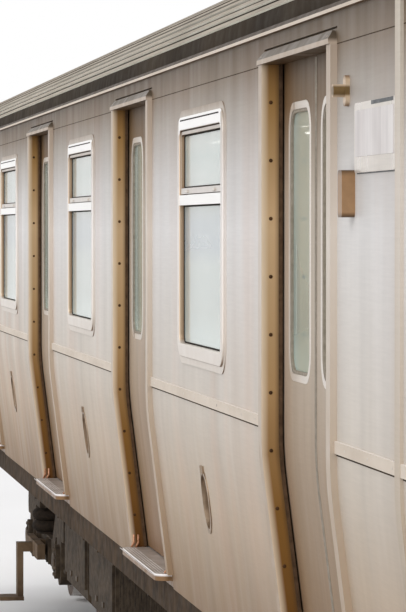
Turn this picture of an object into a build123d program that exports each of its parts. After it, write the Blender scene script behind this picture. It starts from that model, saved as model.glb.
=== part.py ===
from build123d import *
from math import asin, cos, radians, sin
import os

# Millimetres. X runs along the car, the cab end at +X, Y across it, and Z up from the wheel flange tips.

# Body: four doorways a side, with an end bay beyond the first and the last
DOOR_SPACING = 4530
END_BAY = 2265
HALF_WIDTH = 1485
FLOOR_ABOVE_RAIL = 1160
DOOR_CLEAR_HEIGHT = 1928
LETTERBOARD_HEIGHT = 117
ROOF_RISE = 530
SHOULDER_RADIUS = 230
ROOF_INSET = 10
CEILING_RISE = 65
CEILING_HALF_WIDTH = 1050
DECK_DEPTH = 60
FIT = 0.3

# Side wall: it leans inwards below a soft bend, and holds the pockets that the door leaves slide into
BEND_HEIGHT = 685
BEND_RADIUS = 1300
LEAN = 85
SKIN = 44
LEAF_THICKNESS = 32
LEAF_GAP_OUTSIDE = 10
LEAF_GAP_INSIDE = 6
LINING = 22

# Doorways: bi-parting leaves hang from a track above the opening
DOOR_CLEAR_WIDTH = 1270
LEAF_MEETING_GAP = 5
LEAF_OVERLAP = 45
LEAF_OPEN_EDGE = 23
LEAF_FLOOR_GAP = 6
LEAF_TOP_RISE = 50
POCKET_END_GAP = 12
JAMB_THICKNESS = 25
FRAME_FACE = 70
FRAME_PROUD = 20
FRAME_CORNER_RADIUS = 45
HOOD_HEIGHT = 40
HOOD_LIP = 15
HOOD_PROUD = 26
HOOD_TOP_PROUD = 8
SLOT_ABOVE_HEAD = 44
SLOT_HEIGHT = 6
SLOT_DEPTH = 8
LEAF_WINDOW_WIDTH = 400
LEAF_WINDOW_SILL = 950
LEAF_WINDOW_DROP = 148
LEAF_WINDOW_RADIUS = 75
LEAF_GLASS_INSET = 10

# Threshold plates
PLATE_THICKNESS = 28
PLATE_HALF_LENGTH = 650
PLATE_INSIDE_SIDE_PLANE = 20
PLATE_CORNER_RADIUS = 50
GUSSET_LENGTH = 60
GUSSET_INSET = 30

# Side windows, measured inwards from the outline of their flange; their tops hang from the doorway's head
WINDOW_WIDTH = 1320
WINDOW_SILL = 900
WINDOW_DROP = 78
WINDOW_RADIUS = 110
WINDOW_FLANGE = 25
WINDOW_FLANGE_PROUD = 4
WINDOW_LAP = 45
WINDOW_OPENING = 75
WINDOW_PROUD = 12
WINDOW_ROUND = 5
WINDOW_DEPTH = 60
BAR_DROP = 396
BAR_HEIGHT = 38
BAR_INSET = 2
SASH_GROOVE = 4
SASH_RAIL = 16
SASH_FOOT = 26
SASH_INSET = 4
SASH_STEP = 24
SASH_DEPTH = 45
GLASS_THICKNESS = 8
GLASS_RECESS = 10

# Rails along the side
BELT_HEIGHT = 770
BELT_DEPTH = 35
BELT_PROUD = 8
DRIP_DEPTH = 25
DRIP_LIP = 10
DRIP_PROUD = 15
DRIP_TOP_PROUD = 4

# Step cups low on the side, one in each window bay
CUP_OFFSET = -130
CUP_HEIGHT = 405
CUP_LENGTH = 210
CUP_WIDTH = 170
CUP_DEPTH = 38
CUP_WALL = 4
CUP_RIM = 14
CUP_RIM_PROUD = 4
CUP_NOTCH = 22

# Roof ribs
RIB_PITCH = 28
RIB_WIDTH = 12
RIB_HEIGHT = 7
RIB_FLANK = 3
SHOULDER_BAND = 57

# Signs and lamps on the side of the end bays, placed from the nearest doorway's centre
SIGN_OFFSET = 1345
SIGN_WIDTH = 616
SIGN_HEIGHT = 190
SIGN_MIDDLE = 1653
SIGN_PROUD = 8
SIGN_RADIUS = 15
DOOR_LAMP_OFFSET = 970
DOOR_LAMP_WIDTH = 70
DOOR_LAMP_HEIGHT = 130
DOOR_LAMP_MIDDLE = 1502
DOOR_LAMP_PROUD = 37
MARKER_OFFSET = 895
MARKER_MIDDLE = 1788
MARKER_WIDTH = 44
MARKER_HEIGHT = 86
MARKER_BASE = 12
MARKER_RADIUS = 18
MARKER_PROUD = 45

# End walls and their doors
END_WALL = 100
END_DOOR_WIDTH = 740
END_DOOR_HEIGHT = 1925
END_DOOR_THICKNESS = 40
END_DOOR_GAP = 5
END_DOOR_WINDOW_WIDTH = 420
HINGE_OFFSET = 14
HINGE_PIN_RADIUS = 6
HINGE_KNUCKLE_RADIUS = 11
HINGE_CLEARANCE = 0.1
HINGE_STRAP_WIDTH = 60
HINGE_STRAP_THICKNESS = 8
HINGE_LENGTH = 120
HINGE_HEIGHTS = (250, 950, 1650)
END_WINDOW_INNER = 520
END_WINDOW_OUTER = 1180
END_WINDOW_LOW = 950
END_WINDOW_HIGH = 1650
END_WINDOW_RADIUS = 60
END_GLASS_INSET = 15
END_SIGN_WIDTH = 560
END_SIGN_HEIGHT = 190
END_SIGN_Y = 760
END_SIGN_MIDDLE = 1840
END_SIGN_PROUD = 25
ANTICLIMBER_HALF_WIDTH = 1150
ANTICLIMBER_LENGTH = 90
ANTICLIMBER_DROP = 150
ANTICLIMBER_TEETH = 4
HEADLAMP_RADIUS = 90
TAIL_LAMP_RADIUS = 60
LAMP_HEIGHT = 300
HEADLAMP_Y = 900
LAMP_SPACING = 190
LAMP_PROUD = 18
LENS_BULGE = 12
LENS_EDGE = 20
END_RAIL_RADIUS = 15
END_RAIL_STANDOFF = 55
END_RAIL_BEND = 35

# Handrails on an end wall: distance from the centreline, lower end, upper end
END_RAILS = (
    (445, 620, 1560),
    (1300, 420, 1500),
)

# Cab and saloon
CAB_SETBACK = 65
CAB_WALL = 40
CAB_DOOR_WIDTH = 640
CAB_DOOR_HEIGHT = 1900
CAB_DOOR_THICKNESS = 30
CAB_DOOR_WINDOW_WIDTH = 300
DESK_DEPTH = 430
DESK_INNER = 440
DESK_OUTER = 1240
DESK_HEIGHT = 900
DESK_FRONT_HEIGHT = 780
DESK_KNEE_DEPTH = 170
DESK_KNEE_HEIGHT = 640
SEAT_HEIGHT = 430
SEAT_BACK_HEIGHT = 860
SEAT_REACH = 510
SEAT_CUSHION = 60
SEAT_BACK_THICKNESS = 50
SEAT_WALL_GAP = 16
SEAT_DOOR_GAP = 150
HEATER_REACH = 370
HEATER_HEIGHT = 330
SCREEN_HEIGHT = 1280
SCREEN_THICKNESS = 30
SCREEN_REACH = 470
SCREEN_SLANT = 260
POLE_RADIUS = 16
POLE_Y = 650
GRAB_RAIL_HEIGHT = 1850
LIGHT_INNER = 800
LIGHT_OUTER = 980
LIGHT_DEPTH = 45

# Underframe, hung between the bogies from cross bearers
SILL_INNER = 1240
SILL_OUTER = 1385
SILL_DEPTH = 120
END_SILL_LENGTH = 200
CENTRE_SILL_HALF_WIDTH = 150
CENTRE_SILL_DEPTH = 130
BEARER_WIDTH = 120
BEARER_DEPTH = 90
BEARERS_EACH_WAY = 3
BOGIE_TO_BEARER = 2250
BODY_BOLSTER_HALF_WIDTH = 200

# Equipment: its cross-section, its hanger plate, and its lids or fins
BOX_INNER = 350
BOX_OUTER = 1150
BOX_DEPTH = 638
BOX_CHAMFER = 70
BOX_END_GAP = 100
HANGER_THICKNESS = 20
LID_LENGTH = 640
LID_GAP = 30
LID_PROUD = 16
LID_MARGIN = 60
FIN_PITCH = 70
FIN_THICKNESS = 8
FIN_DEPTH = 60
TANK_RADIUS = 165
TANK_DISH = 90
TANK_DROP = 230
TANK_STRAP_WIDTH = 50
TANK_STRAP_INSET = 260
TANK_YS = (560, 950)

# Boxes with lids, then boxes with fins, then tanks: the bearer at each end, and the side (1 left, -1 right)
LIDDED_BOXES = ((-3, -2, -1), (-2, -1, -1), (1, 3, -1), (-3, -1, 1), (2, 3, 1))
FINNED_BOXES = ((-1, 1, -1),)
TANK_BAYS = ((-1, 0, 1), (0, 1, 1))

# Bogies
BOGIE_INSET = 2310
WHEELBASE = 2083
WHEEL_RADIUS = 432
FLANGE_DEPTH = 28
WHEEL_BACK = 680
WHEEL_WIDTH = 135
FLANGE_WIDTH = 33
FLANGE_TIP_WIDTH = 20
TREAD_FALL = 5
RIM_THICKNESS = 65
WEB_THICKNESS = 28
HUB_RADIUS = 125
AXLE_RADIUS = 80
JOURNAL_RADIUS = 65
JOURNAL_SHOULDER = 40
JOURNAL_END_INSET = 20
JOURNAL_END_GAP = 5
JOURNAL_CLEARANCE = 0.08
WHEEL_TO_FRAME = 105
SIDE_FRAME_WIDTH = 160
SIDE_FRAME_DEPTH = 160
SIDE_FRAME_RISE = 140
SIDE_FRAME_ROUND = 50
SIDE_FRAME_OVERHANG = 318
SIDE_FRAME_SLOPE = 240
WELL_DROP = 80
WELL_DEPTH = 180
AXLE_BOX_RADIUS = 150
AXLE_BOX_ARM = 90
AXLE_CAP_RADIUS = 110
AXLE_CAP_DEPTH = 30
TRANSOM_X = 300
TRANSOM_WIDTH = 120
TRANSOM_DEPTH = 140
TRANSOM_LIFT = 20
SPRING_RADIUS = 165
SPRING_WAIST_RADIUS = 135
SPRING_HEIGHT = 180
SPRING_PLATE = 14
BOGIE_BOLSTER_HALF_WIDTH = 180
BOGIE_BOLSTER_REACH = 1130
BOWL_RISE = 60
CENTRE_PLATE_RADIUS = 200
CENTRE_PLATE_HEIGHT = 58
CENTRE_PIN_RADIUS = 60
CENTRE_PIN_LENGTH = 150
PIN_CLEARANCE = 0.1
MOTOR_RADIUS = 190
MOTOR_HALF_LENGTH = 300
MOTOR_TO_AXLE = 351
MOTOR_BAND = 40
MOTOR_BAND_PROUD = 14
NOSE_HALF_WIDTH = 200
NOSE_DEPTH = 120
GEAR_START = 330
GEAR_WIDTH = 210
GEAR_RADIUS = 190
PINION_RADIUS = 120
GEAR_CLEARANCE = 5
BRAKE_GAP = 6
BRAKE_HALF_HEIGHT = 95
BRAKE_FLANGE_GAP = 9
BRAKE_WIDTH = 85

# Collector shoes, on a beam outside each side frame
SHOE_BEAM_HALF_LENGTH = 450
SHOE_BEAM_GAP = 40
SHOE_BEAM_WIDTH = 50
SHOE_BEAM_DEPTH = 100
SHOE_BEAM_DROP = 40
SHOE_BRACKET_HALF_WIDTH = 60
SHOE_ARM_REACH = 100
SHOE_ARM_DEPTH = 60
SHOE_LEG_WIDTH = 40
SHOE_HEIGHT = 90
SHOE_THICKNESS = 25
SHOE_HALF_LENGTH = 110
SHOE_WIDTH = 160

# Couplers and the forks that hold them
COUPLER_REACH = 115
COUPLER_PIVOT_INSET = 810
COUPLER_ABOVE_RAIL = 700
COUPLER_PIN_RADIUS = 35
DRAWBAR_EYE_RADIUS = 65
DRAWBAR_HALF_WIDTH = 50
DRAWBAR_HALF_HEIGHT = 62
COUPLER_HEAD_LENGTH = 300
COUPLER_HEAD_HALF_WIDTH = 165
COUPLER_HEAD_HALF_HEIGHT = 160
COUPLER_FACE_THICKNESS = 60
COUPLER_NECK_HALF_WIDTH = 115
COUPLER_RIB_THICKNESS = 20
CONTACT_BOX_HEIGHT = 130
CONTACT_BOX_HALF_WIDTH = 190
CONTACT_BOX_LENGTH = 190
CONTACT_BOX_SETBACK = 20
FORK_LENGTH = 350
FORK_THROAT = 90
FORK_BLOCK_HALF_WIDTH = 110
FORK_HALF_WIDTH = 70
FORK_HALF_HEIGHT = 110
FORK_JAW = 40

# Worked out from the sizes above
RAIL_Z = FLANGE_DEPTH
FLOOR_Z = RAIL_Z + FLOOR_ABOVE_RAIL
DECK_Z = FLOOR_Z - DECK_DEPTH
BEND_Z = FLOOR_Z + BEND_HEIGHT
HEAD_Z = FLOOR_Z + DOOR_CLEAR_HEIGHT
EAVE_Z = HEAD_Z + LETTERBOARD_HEIGHT
ROOF_Z = EAVE_Z + ROOF_RISE
CEILING_Z = EAVE_Z + CEILING_RISE
AXLE_Z = RAIL_Z + WHEEL_RADIUS
DOOR_CENTRES = [DOOR_SPACING * step for step in (1.5, 0.5, -0.5, -1.5)]
WINDOW_CENTRES = [DOOR_SPACING * step for step in (1, 0, -1)]
BODY_END = DOOR_CENTRES[0] + END_BAY
WALL_END = BODY_END - END_WALL
COUPLED_LENGTH = 2 * (BODY_END + COUPLER_REACH)
LEAF_RECESS = SKIN + LEAF_GAP_OUTSIDE
POCKET_INNER = LEAF_RECESS + LEAF_THICKNESS + LEAF_GAP_INSIDE
WALL = POCKET_INNER + LINING
INNER_Y = HALF_WIDTH - WALL
HALF_DOOR = DOOR_CLEAR_WIDTH / 2
BAY_EDGE = HALF_DOOR + JAMB_THICKNESS
FRAME_EDGE = HALF_DOOR + FRAME_FACE
DOOR_TRAVEL = HALF_DOOR - LEAF_OPEN_EDGE
LEAF_WIDTH = HALF_DOOR + LEAF_OVERLAP - LEAF_MEETING_GAP / 2
LEAF_TOP_Z = HEAD_Z + LEAF_TOP_RISE
POCKET_END = HALF_DOOR + LEAF_OVERLAP + DOOR_TRAVEL + POCKET_END_GAP
WINDOW_HEIGHT = DOOR_CLEAR_HEIGHT - WINDOW_DROP - WINDOW_SILL
WINDOW_MIDDLE_Z = FLOOR_Z + WINDOW_SILL + WINDOW_HEIGHT / 2
BAR_HIGH_Z = HEAD_Z - BAR_DROP
BAR_LOW_Z = BAR_HIGH_Z - BAR_HEIGHT
CAB_WALL_X = DOOR_CENTRES[0] + BAY_EDGE + CAB_SETBACK
CENTRE_SILL_Z = DECK_Z - CENTRE_SILL_DEPTH
BEARER_Z = DECK_Z - BEARER_DEPTH
BOGIE_CENTRE = BODY_END - BOGIE_INSET
BEARER_PITCH = (BOGIE_CENTRE - BOGIE_TO_BEARER) / BEARERS_EACH_WAY
SIDE_FRAME_INNER = WHEEL_BACK + WHEEL_WIDTH + WHEEL_TO_FRAME
SIDE_FRAME_OUTER = SIDE_FRAME_INNER + SIDE_FRAME_WIDTH
SIDE_FRAME_Y = (SIDE_FRAME_INNER + SIDE_FRAME_OUTER) / 2
SIDE_FRAME_LOW_Z = AXLE_Z + SIDE_FRAME_RISE
WELL_LOW_Z = AXLE_Z - WELL_DROP
WELL_TOP_Z = WELL_LOW_Z + WELL_DEPTH
SPRING_TOP_Z = WELL_TOP_Z + SPRING_HEIGHT
CENTRE_PLATE_Z = CENTRE_SILL_Z - CENTRE_PLATE_HEIGHT
BOLSTER_TOP_Z = CENTRE_PLATE_Z - BOWL_RISE
COUPLER_Z = RAIL_Z + COUPLER_ABOVE_RAIL
COUPLER_PIVOT_X = BODY_END - COUPLER_PIVOT_INSET


def box(x0, x1, y0, y1, z0, z1):
    """A plain block between two corners."""
    return Pos((x0 + x1) / 2, (y0 + y1) / 2, (z0 + z1) / 2) * Box(x1 - x0, y1 - y0, z1 - z0)


def rod_x(y, z, radius, x0, x1):
    """A round bar along X."""
    return Pos((x0 + x1) / 2, y, z) * Rot(0, 90, 0) * Cylinder(radius, x1 - x0)


def rod_y(x, z, radius, y0, y1):
    """A round bar along Y."""
    return Pos(x, (y0 + y1) / 2, z) * Rot(90, 0, 0) * Cylinder(radius, y1 - y0)


def rod_z(x, y, radius, z0, z1):
    """A round bar along Z."""
    return Pos(x, y, (z0 + z1) / 2) * Cylinder(radius, z1 - z0)


def along_x(face, x0, x1):
    """A cross-section drawn in Y and Z, drawn out along the car."""
    return Pos(x0, 0, 0) * extrude(face, amount=x1 - x0, dir=(1, 0, 0))


def section(points):
    """A straight-sided cross-section in Y and Z."""
    return Plane.YZ * make_face(Polyline(*points, close=True))


def upright_slab(x, z, width, height, radius, y0, y1):
    """A round-cornered slab standing in the XZ plane between two Y values."""
    flat = Plane.XZ * RectangleRounded(width, height, radius)
    return Pos(x, y0, z) * extrude(flat, amount=y1 - y0, dir=(0, 1, 0))


def cross_slab(y, z, width, height, radius, x0, x1):
    """A round-cornered slab standing in the YZ plane between two X values."""
    flat = Plane.YZ * RectangleRounded(width, height, radius)
    return Pos(x0, y, z) * extrude(flat, amount=x1 - x0, dir=(1, 0, 0))


def mirrored(shape):
    """The same piece on the other side of the car."""
    return mirror(shape, about=Plane.XZ)


def turned(shape):
    """The same piece at the other end of the car."""
    return mirror(shape, about=Plane.YZ)


def both_sides(pieces):
    """Pieces of the left side, with those of the right side."""
    return [*pieces, *(mirrored(piece) for piece in pieces)]


def both_ends(pieces):
    """Pieces of the cab end, with those of the other end."""
    return [*pieces, *(turned(piece) for piece in pieces)]


def save(name, solids):
    """Writes one node, made of one solid or of several that don't touch."""
    pieces = solids if isinstance(solids, list) else [solids]
    bodies = [solid for piece in pieces for solid in piece.solids()]
    export_step(Compound(children=bodies) if len(bodies) > 1 else bodies[0], f"parts/{name}.step")


def side_y(depth, z):
    """Distance from the centreline to the face that lies a given depth inside the side's outer face."""
    return HALF_WIDTH - depth - LEAN * max(0, BEND_Z - z) / BEND_HEIGHT


def side_layer(depth_out, depth_in, z_low, z_high):
    """Cross-section of one layer of the side, bent as the whole side is."""
    outer = FilletPolyline(
        (side_y(depth_out, z_low), z_low),
        (side_y(depth_out, BEND_Z), BEND_Z),
        (side_y(depth_out, z_high), z_high),
        radius=BEND_RADIUS,
    )
    inner = FilletPolyline(
        (side_y(depth_in, z_low), z_low),
        (side_y(depth_in, BEND_Z), BEND_Z),
        (side_y(depth_in, z_high), z_high),
        radius=BEND_RADIUS,
    )
    foot = Line(outer @ 0, inner @ 0)
    head = Line(outer @ 1, inner @ 1)
    return Plane.YZ * make_face([*outer.edges(), *inner.edges(), foot, head])


# Roof outline: a wide crown arc meets a tight shoulder arc, which stands upright at the eave
ROOF_EDGE = HALF_WIDTH - ROOF_INSET
SHOULDER_Y = ROOF_EDGE - SHOULDER_RADIUS
CROWN_RADIUS = (SHOULDER_Y**2 + ROOF_RISE**2 - SHOULDER_RADIUS**2) / (2 * (ROOF_RISE - SHOULDER_RADIUS))
CROWN_ANGLE = asin(SHOULDER_Y / (CROWN_RADIUS - SHOULDER_RADIUS))
CROWN_HALF_GIRTH = CROWN_RADIUS * CROWN_ANGLE
HALF_GIRTH = CROWN_HALF_GIRTH + SHOULDER_RADIUS * (radians(90) - CROWN_ANGLE)
RIBS_EACH_SIDE = int((HALF_GIRTH - SHOULDER_BAND) / RIB_PITCH)


def on_roof(girth, lift):
    """Point of the roof's outline at a distance round it from the centreline, raised off it by lift."""
    if girth <= CROWN_HALF_GIRTH:
        angle = girth / CROWN_RADIUS
        radius, centre_y, centre_z = CROWN_RADIUS + lift, 0, ROOF_Z - CROWN_RADIUS
    else:
        angle = CROWN_ANGLE + (girth - CROWN_HALF_GIRTH) / SHOULDER_RADIUS
        radius, centre_y, centre_z = SHOULDER_RADIUS + lift, SHOULDER_Y, EAVE_Z
    return centre_y + radius * sin(angle), centre_z + radius * cos(angle)


def roof_section():
    """Ribbed roof above, ceiling below, and a flat seat on each letterboard."""
    half = []
    for rib in range(RIBS_EACH_SIDE):
        middle = (rib + 0.5) * RIB_PITCH
        half.append(on_roof(middle - RIB_WIDTH / 2 - RIB_FLANK, 0))
        half.append(on_roof(middle - RIB_WIDTH / 2, RIB_HEIGHT))
        half.append(on_roof(middle + RIB_WIDTH / 2, RIB_HEIGHT))
        half.append(on_roof(middle + RIB_WIDTH / 2 + RIB_FLANK, 0))
    last = RIBS_EACH_SIDE * RIB_PITCH
    band_start = on_roof(last, 0)
    eave = ROOF_EDGE, EAVE_Z
    ribs = Polyline(*[(-y, z) for y, z in reversed(half)], *half)
    band = ThreePointArc(band_start, on_roof((last + HALF_GIRTH) / 2, 0), eave)
    skirt = [Line(half[-1], band_start), band]
    below = Polyline(
        eave,
        (INNER_Y, EAVE_Z),
        (CEILING_HALF_WIDTH, CEILING_Z),
        (-CEILING_HALF_WIDTH, CEILING_Z),
        (-INNER_Y, EAVE_Z),
        (-ROOF_EDGE, EAVE_Z),
    )
    other = [mirror(edge, about=Plane.YZ) for edge in skirt]
    return Plane.YZ * make_face([*ribs.edges(), *skirt, *other, *below.edges()])


def end_section():
    """Whole outline of the body, from the deck up to the roof."""
    side = FilletPolyline(
        (side_y(0, DECK_Z), DECK_Z),
        (HALF_WIDTH, BEND_Z),
        (HALF_WIDTH, EAVE_Z),
        radius=BEND_RADIUS,
    )
    eave = Line((HALF_WIDTH, EAVE_Z), (ROOF_EDGE, EAVE_Z))
    joint = on_roof(CROWN_HALF_GIRTH, 0)
    shoulder = ThreePointArc((ROOF_EDGE, EAVE_Z), on_roof((CROWN_HALF_GIRTH + HALF_GIRTH) / 2, 0), joint)
    half = [*side.edges(), eave, shoulder]
    other = [mirror(edge, about=Plane.YZ) for edge in half]
    crown = ThreePointArc(joint, (0, ROOF_Z), (-joint[0], joint[1]))
    foot = Line((side_y(0, DECK_Z), DECK_Z), (-side_y(0, DECK_Z), DECK_Z))
    return Plane.YZ * make_face([*half, *other, crown, foot])


def bay_edges(reach):
    """Ends of the stretches of one side that lie between the doorways, reach being half a doorway's gap."""
    edges = [WALL_END]
    for centre in DOOR_CENTRES:
        edges += [centre + reach, centre - reach]
    edges.append(-WALL_END)
    return list(zip(edges[0::2], edges[1::2]))


def on_side(x, height):
    """Plane on the left side's leaning face, facing outwards."""
    z = FLOOR_Z + height
    return Plane(origin=(x, side_y(0, z), z), x_dir=(1, 0, 0), z_dir=(0, BEND_HEIGHT, -LEAN))


def cup_solid(inset, out, back):
    """Upright oval of a step cup at the middle window bay, between two distances from the side's face."""
    flat = SlotOverall(CUP_LENGTH - 2 * inset, CUP_WIDTH - 2 * inset, rotation=90)
    slab = Pos(0, 0, -back) * extrude(flat, amount=out + back, dir=(0, 0, 1))
    return on_side(CUP_OFFSET, CUP_HEIGHT) * slab


def step_cup():
    """Pressed cup with a rim on the side and two notches on the rim's top."""
    cup = cup_solid(FIT, 0, CUP_DEPTH - FIT) + cup_solid(-CUP_RIM, CUP_RIM_PROUD, 0)
    cup -= cup_solid(CUP_WALL, CUP_RIM_PROUD, CUP_DEPTH - CUP_WALL)
    top = -(CUP_LENGTH / 2 + CUP_RIM)
    for way in (-1, 1):
        notch = Pos(way * CUP_NOTCH, top, CUP_RIM_PROUD) * Box(CUP_NOTCH, 2 * CUP_RIM, 2 * CUP_RIM_PROUD)
        cup += on_side(CUP_OFFSET, CUP_HEIGHT) * notch
    return cup


def window_slab(inset, y0, y1):
    """Slab of the middle side window's outline, set in all round by inset."""
    return upright_slab(
        0, WINDOW_MIDDLE_Z, WINDOW_WIDTH - 2 * inset, WINDOW_HEIGHT - 2 * inset, WINDOW_RADIUS - inset, y0, y1
    )


def wall_bays():
    """Left side between the doorways, with window holes, step cups' recesses and door pockets."""
    layer = side_layer(0, WALL, DECK_Z, HEAD_Z)
    pocket = side_layer(SKIN, POCKET_INNER, FLOOR_Z, HEAD_Z)
    pocket_length = POCKET_END - BAY_EDGE
    bays = []
    for front, back in bay_edges(BAY_EDGE):
        bay = along_x(layer, back, front)
        if front < WALL_END:
            bay -= along_x(pocket, front - pocket_length, front)
        if back > -WALL_END:
            bay -= along_x(pocket, back, back + pocket_length)
        bays.append(bay)
    hole = window_slab(WINDOW_LAP, INNER_Y - WALL, HALF_WIDTH + WALL)
    recess = cup_solid(0, CUP_DEPTH, CUP_DEPTH)
    for number, centre in enumerate(WINDOW_CENTRES, start=1):
        bays[number] -= Pos(centre, 0, 0) * hole
        bays[number] -= Pos(centre, 0, 0) * recess
    return bays


def letterboard():
    """Beam above doors and windows, with the track's groove in its underside and a slot above each hood."""
    beam = box(-WALL_END, WALL_END, INNER_Y, HALF_WIDTH, HEAD_Z, EAVE_Z)
    groove = box(-POCKET_END, POCKET_END, HALF_WIDTH - POCKET_INNER, HALF_WIDTH - SKIN, HEAD_Z, LEAF_TOP_Z)
    seat = box(-BAY_EDGE, BAY_EDGE, HALF_WIDTH - SKIN, HALF_WIDTH, HEAD_Z, HEAD_Z + JAMB_THICKNESS)
    slot_z = HEAD_Z + SLOT_ABOVE_HEAD
    slot = box(-FRAME_EDGE, FRAME_EDGE, HALF_WIDTH - SLOT_DEPTH, HALF_WIDTH, slot_z, slot_z + SLOT_HEIGHT)
    for centre in DOOR_CENTRES:
        beam -= Pos(centre, 0, 0) * (groove + seat)
        beam -= Pos(centre, 0, 0) * slot
    return beam


def door_frame(centre):
    """Jambs and hood of one doorway, standing proud of the side, with rounded upper corners."""
    liner = side_layer(-FRAME_PROUD, SKIN, FLOOR_Z, HEAD_Z + JAMB_THICKNESS)
    face = side_layer(-FRAME_PROUD, 0, FLOOR_Z, HEAD_Z + HOOD_LIP)
    jamb = along_x(liner, HALF_DOOR, BAY_EDGE) + along_x(face, HALF_DOOR, FRAME_EDGE)
    lintel = box(-BAY_EDGE, BAY_EDGE, HALF_WIDTH - SKIN, HALF_WIDTH, HEAD_Z, HEAD_Z + JAMB_THICKNESS)
    hood = along_x(
        section(
            [
                (HALF_WIDTH, HEAD_Z),
                (HALF_WIDTH + HOOD_PROUD, HEAD_Z),
                (HALF_WIDTH + HOOD_PROUD, HEAD_Z + HOOD_LIP),
                (HALF_WIDTH + HOOD_TOP_PROUD, HEAD_Z + HOOD_HEIGHT),
                (HALF_WIDTH, HEAD_Z + HOOD_HEIGHT),
            ]
        ),
        -FRAME_EDGE,
        FRAME_EDGE,
    )
    frame = jamb + turned(jamb) + lintel + hood
    height = 2 * (DOOR_CLEAR_HEIGHT + HOOD_HEIGHT)
    reach = HALF_WIDTH + HOOD_PROUD
    frame &= upright_slab(0, FLOOR_Z, 2 * FRAME_EDGE, height, FRAME_CORNER_RADIUS, 0, reach)
    return Pos(centre, 0, 0) * frame


def door_leaf(centre, way):
    """One closed sliding leaf and its pane; way is +1 for the leaf that opens towards the cab end."""
    layer = side_layer(LEAF_RECESS, LEAF_RECESS + LEAF_THICKNESS, FLOOR_Z + LEAF_FLOOR_GAP, LEAF_TOP_Z - FIT)
    leaf = along_x(layer, LEAF_MEETING_GAP / 2, LEAF_MEETING_GAP / 2 + LEAF_WIDTH)
    height = DOOR_CLEAR_HEIGHT - LEAF_WINDOW_DROP - LEAF_WINDOW_SILL
    place = HALF_DOOR / 2, FLOOR_Z + LEAF_WINDOW_SILL + height / 2
    leaf -= upright_slab(*place, LEAF_WINDOW_WIDTH, height, LEAF_WINDOW_RADIUS, INNER_Y, HALF_WIDTH)
    front = HALF_WIDTH - LEAF_RECESS - LEAF_GLASS_INSET
    pane = upright_slab(
        *place,
        LEAF_WINDOW_WIDTH - 2 * FIT,
        height - 2 * FIT,
        LEAF_WINDOW_RADIUS - FIT,
        front - GLASS_THICKNESS,
        front,
    )
    return [Pos(centre, 0, 0) * (piece if way > 0 else turned(piece)) for piece in (leaf, pane)]


def threshold(centre):
    """Plate under one doorway, with the block and the gusset that carry it."""
    low = FLOOR_Z - PLATE_THICKNESS
    side = side_y(0, FLOOR_Z)
    edge = HALF_WIDTH - PLATE_INSIDE_SIDE_PLANE
    tread = box(-BAY_EDGE + FIT, BAY_EDGE - FIT, side_y(WALL, DECK_Z), side, low, FLOOR_Z)
    lip_depth = edge - side + PLATE_CORNER_RADIUS
    lip = extrude(
        RectangleRounded(2 * PLATE_HALF_LENGTH, 2 * lip_depth, PLATE_CORNER_RADIUS), amount=PLATE_THICKNESS
    )
    lip = Pos(0, edge - lip_depth, low) * lip
    lip &= box(-PLATE_HALF_LENGTH, PLATE_HALF_LENGTH, side, edge, low, FLOOR_Z)
    block = box(-HALF_DOOR, HALF_DOOR, SILL_INNER + DECK_DEPTH, SILL_OUTER, DECK_Z, low)
    gusset = along_x(
        section([(SILL_OUTER, DECK_Z), (SILL_OUTER, low), (edge - GUSSET_INSET, low)]),
        -GUSSET_LENGTH / 2,
        GUSSET_LENGTH / 2,
    )
    return Pos(centre, 0, 0) * (tread + lip + block + gusset)


def window_frame():
    """Frame of the middle left window: flange, rounded face, bar, and the hopper sash above the bar."""
    frame = window_slab(WINDOW_FLANGE, HALF_WIDTH, HALF_WIDTH + WINDOW_PROUD)
    frame -= window_slab(WINDOW_OPENING, HALF_WIDTH, HALF_WIDTH + WINDOW_PROUD)
    frame = fillet(frame.edges().group_by(Axis.Y)[-1], WINDOW_ROUND)
    back = HALF_WIDTH - WINDOW_DEPTH
    rim = window_slab(0, HALF_WIDTH, HALF_WIDTH + WINDOW_FLANGE_PROUD)
    rim += window_slab(WINDOW_LAP + FIT, back, HALF_WIDTH)
    frame += rim - window_slab(WINDOW_OPENING, back, HALF_WIDTH + WINDOW_FLANGE_PROUD)
    half = WINDOW_WIDTH / 2 - WINDOW_OPENING
    frame += box(-half, half, back, HALF_WIDTH + WINDOW_PROUD - BAR_INSET, BAR_LOW_Z, BAR_HIGH_Z)
    sash = above_bar(WINDOW_OPENING, 0, HALF_WIDTH - SASH_DEPTH, HALF_WIDTH - SASH_STEP)
    sash += above_bar(
        WINDOW_OPENING + SASH_GROOVE, SASH_GROOVE, HALF_WIDTH - SASH_STEP, HALF_WIDTH + SASH_INSET
    )
    sash -= above_bar(WINDOW_OPENING + SASH_RAIL, SASH_FOOT, back, HALF_WIDTH + WINDOW_PROUD)
    return frame + sash


def above_bar(inset, rise, y0, y1):
    """The part of a window slab that starts a given rise above the bar."""
    reach = WINDOW_WIDTH / 2
    return window_slab(inset, y0, y1) & box(-reach, reach, y0, y1, BAR_HIGH_Z + rise, HEAD_Z)


def window_panes():
    """Lower fixed pane and upper hopper pane of the middle left window."""
    front = HALF_WIDTH - GLASS_RECESS
    back = front - GLASS_THICKNESS
    reach = WINDOW_WIDTH / 2
    lower = window_slab(WINDOW_OPENING + FIT, back, front)
    lower &= box(-reach, reach, back, front, FLOOR_Z, BAR_LOW_Z - FIT)
    upper = above_bar(WINDOW_OPENING + SASH_RAIL + FIT, SASH_FOOT + FIT, back, front)
    return [lower, upper]


def belt_rails():
    """Raised rail along each bay of the left side, between the door frames."""
    low = FLOOR_Z + BELT_HEIGHT
    return [
        box(back, front, HALF_WIDTH, HALF_WIDTH + BELT_PROUD, low, low + BELT_DEPTH)
        for front, back in bay_edges(FRAME_EDGE)
    ]


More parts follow.
